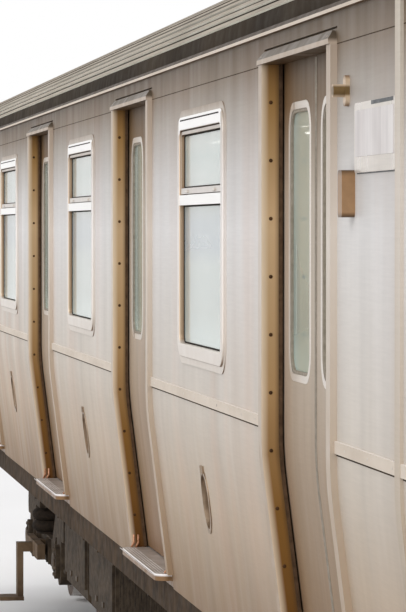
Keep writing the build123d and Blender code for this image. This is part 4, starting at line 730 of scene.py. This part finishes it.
def solids_of(node):
    """The separate solids of a node as new meshes, largest first, each with its middle."""
    source = bmesh.new()
    source.from_mesh(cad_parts[node].data)
    bmesh.ops.remove_doubles(source, verts=source.verts, dist=1e-6)
    seen = set()
    solids = []
    for start in source.verts:
        if start in seen:
            continue
        seen.add(start)
        group = [start]
        for vert in group:
            for line in vert.link_edges:
                other = line.other_vert(vert)
                if other not in seen:
                    seen.add(other)
                    group.append(other)
        places = {vert: number for number, vert in enumerate(group)}
        faces = {face for vert in group for face in vert.link_faces}
        corners = [[places[vert] for vert in face.verts] for face in faces]
        mesh = bpy.data.meshes.new(node)
        mesh.from_pydata([vert.co[:] for vert in group], [], corners)
        spans = [[vert.co[axis] for vert in group] for axis in range(3)]
        low, high = [Vector([end(span) for span in spans]) for end in (min, max)]
        size = high - low
        solids.append((size.x * size.y + size.y * size.z + size.z * size.x, (low + high) / 2, mesh))
    source.free()
    solids.sort(key=lambda solid: -solid[0])
    return [(middle, mesh) for _, middle, mesh in solids]


def dress_solids():
    """Gives every solid its finish."""
    for name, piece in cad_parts.items():
        finish = next((finish for start, finish in FINISHES.items() if name.startswith(start)), PANEL)
        piece.data.materials.clear()
        piece.data.materials.append(finish)


def split_door(node, body, finish, pane_finish):
    """Leaf and pane of a door as two pieces in its place."""
    (_, leaf_mesh), (_, pane_mesh) = solids_of(node)
    leaf = as_piece(f"{node}_panel", leaf_mesh, finish, body)
    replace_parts(leaf, node)
    as_piece(f"{node}_pane", pane_mesh, pane_finish, body)


LEAF_WINDOW = (0.4, 0.83, 0.075, 0.075)
LEAF_WINDOW_Z = FLOOR_Z + 1.365
LEAF_TRIM = 0.022
LEAF_TRIM_PROUD = 0.0015
GASKET = 0.012
GASKET_DEPTHS = (0.0098, 0.002)
NOSING = 0.016
NOSING_START = 0.0026
LEAF_LOW_Z, LEAF_HIGH_Z = FLOOR_Z + 0.008, HEAD_Z - 0.004


def dress_leaf(side_name, side, number, centre, way_name, way):
    """Leaf and pane of one door leaf, its window trim and gasket, and the rubber at its meeting edge."""
    name = f"door_leaf_{side_name}_{number}_{way_name}"
    body = f"leaf_{side_name}_{number}_{way_name}"
    split_door(name, body, LEAF_STEEL, LEAF_GLASS)
    face = SIDE_Y - LEAF_RECESS
    place = centre + way * HALF_DOOR / 2, LEAF_WINDOW_Z
    trim, rubber = forms(2, side)
    trim.band(LEAF_WINDOW, (-LEAF_TRIM, 0.002), place, face - SUNK, face + LEAF_TRIM_PROUD)
    trim.make(f"{name}_trim", BRIGHT_STEEL, body, "bright_steel")
    near, far = [face - depth for depth in GASKET_DEPTHS]
    rubber.band(LEAF_WINDOW, (FINE_EDGE, GASKET), place, near, far)
    start = centre + way * NOSING_START
    out, back = LEAF_TRIM_PROUD - LEAF_RECESS, LEAF_RECESS + SUNK
    rubber.upright(start, start + way * NOSING, out, back, LEAF_LOW_Z, LEAF_HIGH_Z)
    rubber.make(f"{name}_rubber", PALE_RUBBER, body, "spring_rubber")


# From here on a plate is written as half its length, its span across the car and its span upwards
SCREW_PITCH = 0.185
SCREW_TOP_Z = HEAD_Z - 0.12
SCREW_DEPTH = 0.01
SCREW_HEAD = (0.0065, 0.002)
SEAL_START = 0.036
SEAL_DEPTH = 0.004
SEAL_THICKNESS = 0.004
SEAL_BACK = 0.012
TOE_DEPTHS = (-0.012, 0.008)
TOE_RADIUS = 0.005
TOE_RUN = ((0.002, 0.0, 0.055), (-0.003, 0.0, 0.02), (-0.02, 0.012, 0.003))
GRIPS = 6
GRIP_START = 0.008
GRIP_PITCH = 0.013
GRIP = (0.6, 0, 0.005, -0.0005, 0.0012)


def dress_doorways():
    """Screws, seals and toes in the reveals of the doorways, and grip ribs on the threshold plates."""
    count = int((HEAD_Z - FLOOR_Z) / SCREW_PITCH)
    for side_name, side in SIDES:
        screws, seals, grips, toes = forms(4, side)
        for centre in DOOR_CENTRES:
            for way in BOTH:
                face = centre + way * HALF_DOOR
                for number in range(count):
                    z = SCREW_TOP_Z - number * SCREW_PITCH
                    screws.knob((face, side_y(SCREW_DEPTH, z), z), (-way, 0, 0), *SCREW_HEAD, sides=8)
                near, far = face - way * SEAL_THICKNESS, face + way * SEAL_BACK
                seals.upright(near, far, -SEAL_START, SKIN + SEAL_DEPTH, FLOOR_Z + 0.002, HEAD_Z - SUNK)
                for depth in TOE_DEPTHS:
                    foot = side_y(depth, FLOOR_Z)
                    run = [(face + way * x, foot + y, FLOOR_Z + z) for x, y, z in TOE_RUN]
                    toes.tube(run, TOE_RADIUS, sides=8)
            for row in range(GRIPS):
                y = side_y(0, FLOOR_Z) + GRIP_START + row * GRIP_PITCH
                grips.plate((centre, y, FLOOR_Z), GRIP, 0.0006)
        screws.make(f"jamb_screws_{side_name}", SCREW, BODY, "dark_steel")
        seals.make(f"jamb_seals_{side_name}", BROWN_RUBBER, BODY, "spring_rubber")
        grips.make(f"threshold_grips_{side_name}", TREAD, BODY, "tread_plate")
        toes.make(f"jamb_toes_{side_name}", COPPER_REFLECTION, BODY, "bright_steel")


PANE_PLAY = 0.0003
WINDOW_GASKET = 0.006
SASH_LINE = (0.54, 0.011, 0.0128, 0.034, 0.039)
LATCH_X = 0.38
LATCH = (0.03, 0.003, 0.011, 0.008, 0.018)

# Panes of a window: how far they are set in, their foot, their head, and the radii of their corners
PANES = (
    (0, WINDOW_Z0, BAR_Z0, 0.035, 0.001),
    (SASH_RAIL, BAR_Z1 + SASH_FOOT, WINDOW_Z1 - SASH_RAIL, 0.001, 0.019),
)


def dress_windows():
    """Dark glazing gaskets, and the line and latches of the hopper sashes of the side windows."""
    for side_name, side in SIDES:
        gaskets, latches = forms(2, side)
        for centre in WINDOW_CENTRES:
            for inset, low, high, foot, head in PANES:
                outline = (WINDOW_OPENING - 2 * (inset + PANE_PLAY), high - low, foot, head)
                place = centre, (low + high) / 2
                gaskets.band(outline, (0, WINDOW_GASKET), place, PANE_Y - 0.0001, PANE_Y + 0.003)
            gaskets.plate((centre, SIDE_Y, WINDOW_Z1), SASH_LINE, 0.0004)
            for way in BOTH:
                latches.plate((centre + way * LATCH_X, SIDE_Y, BAR_Z1), LATCH)
        gaskets.make(f"window_gaskets_{side_name}", RUBBER, BODY, "spring_rubber")
        latches.make(f"hopper_latches_{side_name}", BRIGHT_STEEL, BODY, "bright_steel")


def bays():
    """Back and front of the stretches of one side between the door frames."""
    edges = [WALL_END]
    for centre in DOOR_CENTRES:
        edges += [centre + FRAME_EDGE, centre - FRAME_EDGE]
    edges.append(-WALL_END)
    return list(zip(edges[1::2], edges[0::2]))


STRIP_X = DOOR_CENTRES[0] + 1.658
STRIP_WIDTH = 0.075
STRIP_PROUD = 0.0095
STRIP_TOP_Z = EAVE_Z - 0.0255
PANEL_JOINT = (SIDE_Y - SUNK, SIDE_Y + 0.0006, HEAD_Z - 0.0015, HEAD_Z + 0.0015)
BELT_JOINT = (SIDE_Y - SUNK, SIDE_Y + 0.0012, BELT_Z - 0.007, BELT_Z - 0.0002)
# A dark strip above each door hood: a painted shadow line under a small overhang
HOOD_SHADOW_LINE = (SIDE_Y - 0.0079, SIDE_Y - 0.006, HEAD_Z + 0.0443, HEAD_Z + 0.0497)
BELT_SCREW_PITCH = 0.3
BELT_SCREW_PLACE = (SIDE_Y + 0.008, BELT_Z + 0.0175)
BELT_SCREW_HEAD = (0.0045, 0.0015)


def dress_sides():
    """Dark joints above the wall panels and under the belt rail, its screws, a painted shadow line above each
    door hood, and upright end strips.
    """
    for side_name, side in SIDES:
        seams_and_shadow_lines, screws, strips = forms(3, side)
        for end in BOTH:
            near, far = end * STRIP_X, end * (STRIP_X + STRIP_WIDTH)
            strips.upright(near, far, STRIP_PROUD, SUNK, FLOOR_Z, STRIP_TOP_Z, steps=40)
        strips.make(f"end_strips_{side_name}", STRIP, BODY, "side_steel")
        for back, front in bays():
            seams_and_shadow_lines.block(back, front, *PANEL_JOINT, HAIR_EDGE)
            seams_and_shadow_lines.block(back, front, *BELT_JOINT, HAIR_EDGE)
            count = int((front - back) / BELT_SCREW_PITCH)
            for number in range(count):
                x = back + (number + 0.5) * (front - back) / count
                screws.knob((x, *BELT_SCREW_PLACE), (0, 1, 0), *BELT_SCREW_HEAD)
        # Painted shadow line above each door hood
        for centre in DOOR_CENTRES:
            near, far = centre - FRAME_EDGE + SUNK, centre + FRAME_EDGE - SUNK
            seams_and_shadow_lines.block(near, far, *HOOD_SHADOW_LINE, HAIR_EDGE)
        seams_and_shadow_lines.make(f"side_seams_and_shadow_lines_{side_name}", DARK, BODY, "dark_steel")
        screws.make(f"belt_screws_{side_name}", BRIGHT_STEEL, BODY, "bright_steel")


SIGN_X = DOOR_CENTRES[0] + 1.345
SIGN_Z = FLOOR_Z + 1.653
SIGN_FACE = (0.29, 0.007, 0.0095, -0.052, 0.074)
TOP_SEAM_X = 0.12
TOP_SEAM = (0.16, 0.007, 0.0092, 0.084, 0.0945)
FOOT_SEAM = (0.3, -SUNK, 0.002, -0.0985, -0.0935)
END_SIGN_X = BODY_END + 0.0255
END_SIGN = (0.0015, 0.51, 1.01, 1.77, 1.91)


def dress_signs():
    """Glossy blank faces in the side signs and the end signs, and grey seams at the side signs' edges."""
    faces, seams = forms(2, *BOTH)
    for end in BOTH:
        x = end * SIGN_X
        faces.plate((x, SIDE_Y, SIGN_Z), SIGN_FACE)
        seams.plate((x + end * TOP_SEAM_X, SIDE_Y, SIGN_Z), TOP_SEAM, FINE_EDGE)
        seams.plate((x, SIDE_Y, SIGN_Z), FOOT_SEAM, FINE_EDGE)
        faces.plate((end * END_SIGN_X, 0, FLOOR_Z), END_SIGN, 0.001)
    faces.make("sign_faces", SIGN, BODY, "sign_panel")
    seams.make("sign_seams", DESK, BODY, "dark_steel")


HEADLAMP_Y = 0.9
LAMP_RADII = {"headlamp": 0.09, "tail_lamp": 0.06}
LAMP_FINISHES = {"headlamp": HEADLAMP, "tail_lamp": TAIL_LAMP, "side_lamp": MARKER}
BEZEL = 0.012
BEZEL_PROUD = 0.014
BEZEL_EDGE = 0.003


def dress_lamps():
    """Head, tail, door and marker lamps, each in its own glass, with bezels."""
    bezels = Form()
    first = None
    for number, (middle, mesh) in enumerate(solids_of("lamps")):
        kind = "headlamp" if abs(abs(middle.y) - HEADLAMP_Y) < 0.02 else "tail_lamp"
        if abs(middle.x) < BODY_END:
            kind = "side_lamp"
        piece = as_piece(f"{kind}_{number}", mesh, LAMP_FINISHES[kind], BODY)
        first = first or piece
        if kind in LAMP_RADII:
            radius = LAMP_RADII[kind] + BEZEL
            outline = (2 * radius, 2 * radius, radius - 0.0001, radius - 0.0001)
            way = math.copysign(1, middle.x)
            near, far = way * (BODY_END - SUNK), way * (BODY_END + BEZEL_PROUD)
            place = middle.y, middle.z
            bezels.band(outline, (0, BEZEL), place, near, far, "X", way * BEZEL_EDGE)
    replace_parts(first, "lamps")
    bezels.make("lamp_bezels", BRIGHT_STEEL, BODY, "bright_steel")


END_WINDOW = (0.66, 0.7, 0.06, 0.06)
END_WINDOW_Y = 0.85
END_WINDOW_Z = FLOOR_Z + 1.3
SURROUND_INNER, SURROUND_OUTER = 0.376, 0.412
SURROUND_LOW_Z, SURROUND_TOP_Z = FLOOR_Z + 1.931, FLOOR_Z + 1.965
SURROUND_PROUD = 0.012
STEP_REACH = 0.075
STEP_HALF = 0.37

# Wiper arm, blade and foot: distance out from the wall, distance from the centreline, and height
WIPER = (
    ((0.03, 1.05, FLOOR_Z + 0.9), (0.022, 0.73, FLOOR_Z + 1.45)),
    ((0.018, 0.69, FLOOR_Z + 1.2), (0.018, 0.77, FLOOR_Z + 1.6)),
    ((0, 1.05, FLOOR_Z + 0.9),),
)


def dress_ends():
    """Gaskets and bezels of the windows, door surround, wipers and step plates of the end walls."""
    for end_name, end in ENDS:
        rubber, bright, dark = forms(3)
        x = end * BODY_END
        near, far = x - end * SUNK, x + end * SURROUND_PROUD
        for side in BOTH:
            place = side * END_WINDOW_Y, END_WINDOW_Z
            back, front = x - end * 0.0095, x + end * 0.006
            rubber.band(END_WINDOW, (-0.02, 0.012), place, back, front, "X", end * 0.003)
            bright.band(END_WINDOW, (-0.045, -0.0205), place, near, x + end * 0.004, "X", end * 0.001)
            bright.block(near, far, side * SURROUND_INNER, side * SURROUND_OUTER, FLOOR_Z, SURROUND_TOP_Z)
        bright.block(near, far, -SURROUND_INNER, SURROUND_INNER, SURROUND_LOW_Z, SURROUND_TOP_Z)
        dark.block(x, x + end * STEP_REACH, -STEP_HALF, STEP_HALF, DECK_Z + 0.005, DECK_Z + 0.03)
        if end > 0:
            for side in BOTH:
                arm, blade, (foot,) = [[(x + out, side * y, z) for out, y, z in line] for line in WIPER]
                dark.tube(arm, 0.006)
                dark.tube(blade, 0.008)
                dark.knob(foot, (1, 0, 0), 0.028, 0.036, sides=16)
        rubber.make(f"end_gaskets_{end_name}", RUBBER, BODY, "spring_rubber")
        bright.make(f"end_trim_{end_name}", BRIGHT_STEEL, BODY, "bright_steel")
        dark.make(f"end_fittings_{end_name}", DARK, BODY, "dark_steel")


KICK_PLATE = (-0.3, 0.3, FLOOR_Z + 0.03, FLOOR_Z + 0.28)
LEVER_Y, LEVER_END_Y = -0.29, -0.17
LEVER_Z = FLOOR_Z + 0.98
LEVER_OUT = 0.034


def dress_hinged_door(node, inner_x, thickness, window_width, finish):
    """Leaf and pane of a hinged door, with its window gasket, lever handles and kick plates."""
    split_door(node, node, finish, GLASS)
    rubber, bright = forms(2)
    way = math.copysign(1, inner_x)
    window = (window_width, *END_WINDOW[1:])
    for face, out in ((inner_x, -way), (inner_x + way * thickness, way)):
        near, far = face - out * 0.006, face + out * 0.002
        rubber.band(window, (-0.012, 0.01), (0, END_WINDOW_Z), near, far, "X", out * 0.001)
        bright.block(face - out * 0.0005, face + out * 0.0015, *KICK_PLATE, FINE_EDGE)
        bright.knob((face, LEVER_Y, LEVER_Z), (out, 0, 0), 0.024, 0.01, sides=20)
        bright.tube([(face, LEVER_Y, LEVER_Z), (face + out * (LEVER_OUT + 0.004), LEVER_Y, LEVER_Z)], 0.009)
        grip = face + out * LEVER_OUT
        bright.tube([(grip, LEVER_Y - 0.005, LEVER_Z), (grip, LEVER_END_Y, LEVER_Z)], 0.008)
    rubber.make(f"{node}_gasket", RUBBER, node, "spring_rubber")
    bright.make(f"{node}_fittings", BRIGHT_STEEL, node, "bright_steel")


BEARER_PITCH = 1.5
BEARER_Z = DECK_Z - 0.09
LIDDED_BOXES = ((-3, -2, -1), (-2, -1, -1), (1, 3, -1), (-3, -1, 1), (2, 3, 1))
BOX_GAP = 0.1
LID_FACE = 1.15 + 0.016
LID_BORDER = 0.03
LID_PITCH = 0.67
LATCHES_APART = 0.18
CATCH = (0.025, -SUNK, 0.012, -0.12, -0.07)
HINGE = (0.035, -SUNK, 0.008, -0.5, -0.47)
CLIP_FOOT = 0.004

# Pipes: distance from the centreline, radius, top, clips on one half, and half a clip's length and width
PIPES = (
    (0.2, 0.021, BEARER_Z, 3, 0.02, 0.03),
    (0.27, 0.016, BEARER_Z, 3, 0.02, 0.03),
    (1.3, 0.024, DECK_Z - 0.12, 6, 0.015, 0.036),
)


def dress_underfloor():
    """Latches on the equipment lids, and clipped conduits and air pipes along the underframe."""
    latches, pipes = Form(), Form(*BOTH)
    for first, last, side in LIDDED_BOXES:
        latches.sides = (side,)
        start = first * BEARER_PITCH + BOX_GAP
        length = (last - first) * BEARER_PITCH - 2 * BOX_GAP
        count = int((length - LID_BORDER) / LID_PITCH)
        for number in range(count):
            x = start + (number + 0.5) * length / count
            for way in BOTH:
                at = x + way * LATCHES_APART
                latches.plate((at, LID_FACE, BEARER_Z), CATCH)
                latches.knob((at, LID_FACE + 0.011, BEARER_Z - 0.095), (0, 1, 0), 0.012, 0.006, sides=12)
                latches.plate((at, LID_FACE, BEARER_Z), HINGE)
    latches.make("box_latches", CAST, BODY, "equipment_paint")
    reach = 3 * BEARER_PITCH
    for y, radius, top, clips, half, width in PIPES:
        pipes.tube([(way * reach, y, top - radius) for way in BOTH], radius, sides=14)
        size = (half, -width, width, -2 * radius - CLIP_FOOT, 0)
        for step in range(-clips, clips + 1):
            pipes.plate((step * reach / clips, y, top), size)
    pipes.make("underfloor_pipes", DUSTY, BODY, "equipment_paint")


BOGIE_CENTRE = 6.75
HALF_WHEELBASE = 1.0415
AXLE_Z = 0.46
FRAME_OUTER = 1.08
FRAME_INNER = 0.92
CAP_FACE = 1.11
CAP_BOLTS = 8
CAP_BOLT_CIRCLE = 0.088
SPRING_GAP = 0.205
SPRING = (AXLE_Z - 0.036, AXLE_Z + 0.142, 0.045, 0.011, 3.5)
SPRING_SEAT_X = 0.2
SPRING_SEAT = (0.07, -0.065, 0.065, -0.06, -0.035)
STIFFENERS = (-0.45, -0.3, 0.3, 0.45)
STIFFENER = (0.006, -SUNK, 0.02, 0.39, 0.555)


def dress_bogie(end_name, end):
    """Axle caps' bolts, primary springs on their seats, and frame stiffeners of one bogie."""
    body = f"bogie_{end_name}"
    bolts, springs, seats = forms(3, *BOTH)
    for way in BOTH:
        x = end * BOGIE_CENTRE + way * HALF_WHEELBASE
        bolts.knob((x, CAP_FACE, AXLE_Z), (0, 1, 0), 0.06, 0.016, sides=24)
        for step in range(CAP_BOLTS):
            angle = 2 * math.pi * (step + 0.5) / CAP_BOLTS
            across, up = CAP_BOLT_CIRCLE * math.cos(angle), CAP_BOLT_CIRCLE * math.sin(angle)
            bolts.knob((x + across, CAP_FACE, AXLE_Z + up), (0, 1, 0), 0.012, 0.01, sides=6)
        y = (FRAME_INNER + FRAME_OUTER) / 2
        for lean in BOTH:
            seats.plate((x + lean * SPRING_SEAT_X, y, AXLE_Z), SPRING_SEAT, 0.004)
            springs.helix(x + lean * SPRING_GAP, y, *SPRING)
    for reach in STIFFENERS:
        seats.plate((end * BOGIE_CENTRE + reach, FRAME_OUTER, 0), STIFFENER, 0.002)
    bolts.make(f"axle_cap_bolts_{end_name}", CAST, body, "bogie_paint")
    springs.make(f"primary_springs_{end_name}", DARK, body, "bogie_paint")
    seats.make(f"spring_seats_{end_name}", DUSTY, body, "bogie_paint")


# Section of the bench: distance from the centreline, height above the floor, and share of the bucket's depth
SEAT_PROFILE = (
    (0.985, 0.33, 0), (0.875, 0.36, 0), (0.862, 0.385, 0), (0.864, 0.412, 0.1), (0.885, 0.428, 0.5),
    (0.96, 0.43, 1.0), (1.08, 0.43, 1.0), (1.19, 0.432, 0.9), (1.225, 0.46, 0.6), (1.245, 0.55, 0.9),
    (1.262, 0.68, 1.0), (1.282, 0.8, 0.7), (1.3, 0.848, 0.1), (1.322, 0.86, 0), (1.35, 0.852, 0),
    (1.345, 0.75, 0), (1.325, 0.5, 0), (1.31, 0.36, 0),
)
SEAT_PITCH = 0.493
SEATS_A_BENCH = 6
STEPS_A_SEAT = 12
BUCKET_DEPTH = 0.02
BUCKET_SHAPE = 0.6
SEAT_TOP = 0.44
HALF_BENCH = SEATS_A_BENCH * SEAT_PITCH / 2
HEATER = (HALF_BENCH, 1.0, 1.265, 0, 0.335)
SCREEN_GAP = 0.016
SCREEN = (0.014, 0.905, 1.262, 0.002, 1.02)
RAIL_LINE = ((0.905, 0.02), (0.905, 1.02), (1.155, 1.268), (1.35, 1.268))
RAIL_RADIUS = 0.012
POLE_X, POLE_Y = 0.785, 0.65


def dress_interior():
    """Moulded bucket seats, heater boxes and screens in place of the plain benches, and pole sockets."""
    shells, heaters, screens, sockets = forms(4, *BOTH)
    for centre in WINDOW_CENTRES:
        rings = []
        for step in range(SEATS_A_BENCH * STEPS_A_SEAT + 1):
            share = (1 - math.cos(2 * math.pi * step / STEPS_A_SEAT)) / 2
            x = centre - HALF_BENCH + SEAT_PITCH * step / STEPS_A_SEAT
            ring = []
            for y, z, bucket in SEAT_PROFILE:
                sink = BUCKET_DEPTH * bucket * share**BUCKET_SHAPE
                back, down = (sink, 0) if z > SEAT_TOP else (0, sink)
                ring.append((x, y + back, FLOOR_Z + z - down))
            rings.append(ring)
        shells.add(rings)
        heaters.plate((centre, 0, FLOOR_Z), HEATER, 0.004)
        for way in BOTH:
            x = centre + way * (HALF_BENCH + SCREEN_GAP)
            screens.plate((x, 0, FLOOR_Z), SCREEN, 0.003)
            screens.tube([(x, y, FLOOR_Z + z) for y, z in RAIL_LINE], RAIL_RADIUS)
    for centre in DOOR_CENTRES:
        for way in BOTH:
            x = centre + way * POLE_X
            if abs(x) < DOOR_CENTRES[0]:
                sockets.knob((x, POLE_Y, FLOOR_Z), (0, 0, 1), 0.035, 0.02, sides=16)
    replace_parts(shells.make("seat_shells", SEAT, BODY, "seat_plastic", smooth=60), "seats")
    heaters.make("heater_boxes", PANEL, BODY, "lining_panel")
    screens.make("seat_screens", BRIGHT_STEEL, BODY, "bright_steel")
    sockets.make("pole_sockets", TUBE, BODY, "polished_steel")


STAGE_REACH = 60.0
SKY = ((0.95, 0.96, 1.0, 1), 0.5)
WHITE = ((1, 1, 1, 1), 1.0)
SUN_SPREAD = math.radians(70)
SUNS = (("key", (0.62, -0.62, 0.48), 2.05), ("fill", (-0.6, 0.6, 0.5), 1.6))


def add_stage():
    """Pale floor, white background and soft studio light."""
    mesh = bpy.data.meshes.new("floor_stage")
    corners = [(STAGE_REACH * x, STAGE_REACH * y, 0) for x, y in ((-1, -1), (1, -1), (1, 1), (-1, 1))]
    mesh.from_pydata(corners, [], [(0, 1, 2, 3)])
    ground = bpy.data.objects.new("floor_stage", mesh)
    bpy.context.scene.collection.objects.link(ground)
    paint = Paint("floor_stage", Roughness=0.8)
    paint.put("Base Color", paint.two_tone(paint.noise(0.3), (0.78, 0.77, 0.76), (0.82, 0.81, 0.8)))
    mesh.materials.append(paint.material)

    world = bpy.data.worlds.new("studio")
    bpy.context.scene.world = world
    world.use_nodes = True
    nodes, links = world.node_tree.nodes, world.node_tree.links
    soft, white = nodes["Background"], nodes.new("ShaderNodeBackground")
    for shader, (color, strength) in ((soft, SKY), (white, WHITE)):
        shader.inputs["Color"].default_value = color
        shader.inputs["Strength"].default_value = strength
    rays = nodes.new("ShaderNodeLightPath")
    seen = rays.outputs["Is Camera Ray"]
    for kind in ("Is Glossy Ray", "Is Transmission Ray"):
        either = nodes.new("ShaderNodeMath")
        either.operation = "MAXIMUM"
        links.new(seen, either.inputs[0])
        links.new(rays.outputs[kind], either.inputs[1])
        seen = either.outputs["Value"]
    mix = nodes.new("ShaderNodeMixShader")
    for number, socket in enumerate((seen, soft.outputs["Background"], white.outputs["Background"])):
        links.new(socket, mix.inputs[number])
    links.new(mix.outputs["Shader"], nodes["World Output"].inputs["Surface"])

    for name, toward, strength in SUNS:
        data = bpy.data.lights.new(name, "SUN")
        data.angle = SUN_SPREAD
        data.energy = strength
        lamp = bpy.data.objects.new(name, data)
        lamp.rotation_euler = (-Vector(toward)).to_track_quat("-Z", "Y").to_euler()
        bpy.context.scene.collection.objects.link(lamp)


def add_camera():
    """Long lens beside the car, close to its side."""
    data = bpy.data.cameras.new("camera")
    data.lens = CAMERA_LENS
    data.sensor_width = SENSOR
    data.clip_end = CAMERA_REACH
    camera = bpy.data.objects.new("camera", data)
    camera.location = CAMERA_PLACE
    ahead = Vector((
        -math.cos(CAMERA_YAW) * math.cos(CAMERA_PITCH),
        math.sin(CAMERA_YAW) * math.cos(CAMERA_PITCH),
        math.sin(CAMERA_PITCH),
    ))
    camera.rotation_euler = ahead.to_track_quat("-Z", "Y").to_euler()
    bpy.context.scene.collection.objects.link(camera)
    bpy.context.scene.camera = camera


dress_solids()
for side_name, side in SIDES:
    for number, centre in enumerate(DOOR_CENTRES, start=1):
        for way_name, way in WAYS:
            dress_leaf(side_name, side, number, centre, way_name, way)
dress_doorways()
dress_windows()
dress_sides()
dress_signs()
dress_lamps()
dress_ends()
dress_hinged_door("end_door_front", WALL_END, 0.04, 0.42, END_STEEL)
dress_hinged_door("end_door_rear", -WALL_END, 0.04, 0.42, END_STEEL)
dress_hinged_door("cab_door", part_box("cab_wall")[1][0] - 0.04, 0.03, 0.3, PANEL)
dress_underfloor()
for end_name, end in ENDS:
    dress_bogie(end_name, end)
dress_interior()
add_stage()
add_camera()
bpy.context.scene.view_settings.view_transform = "Standard"
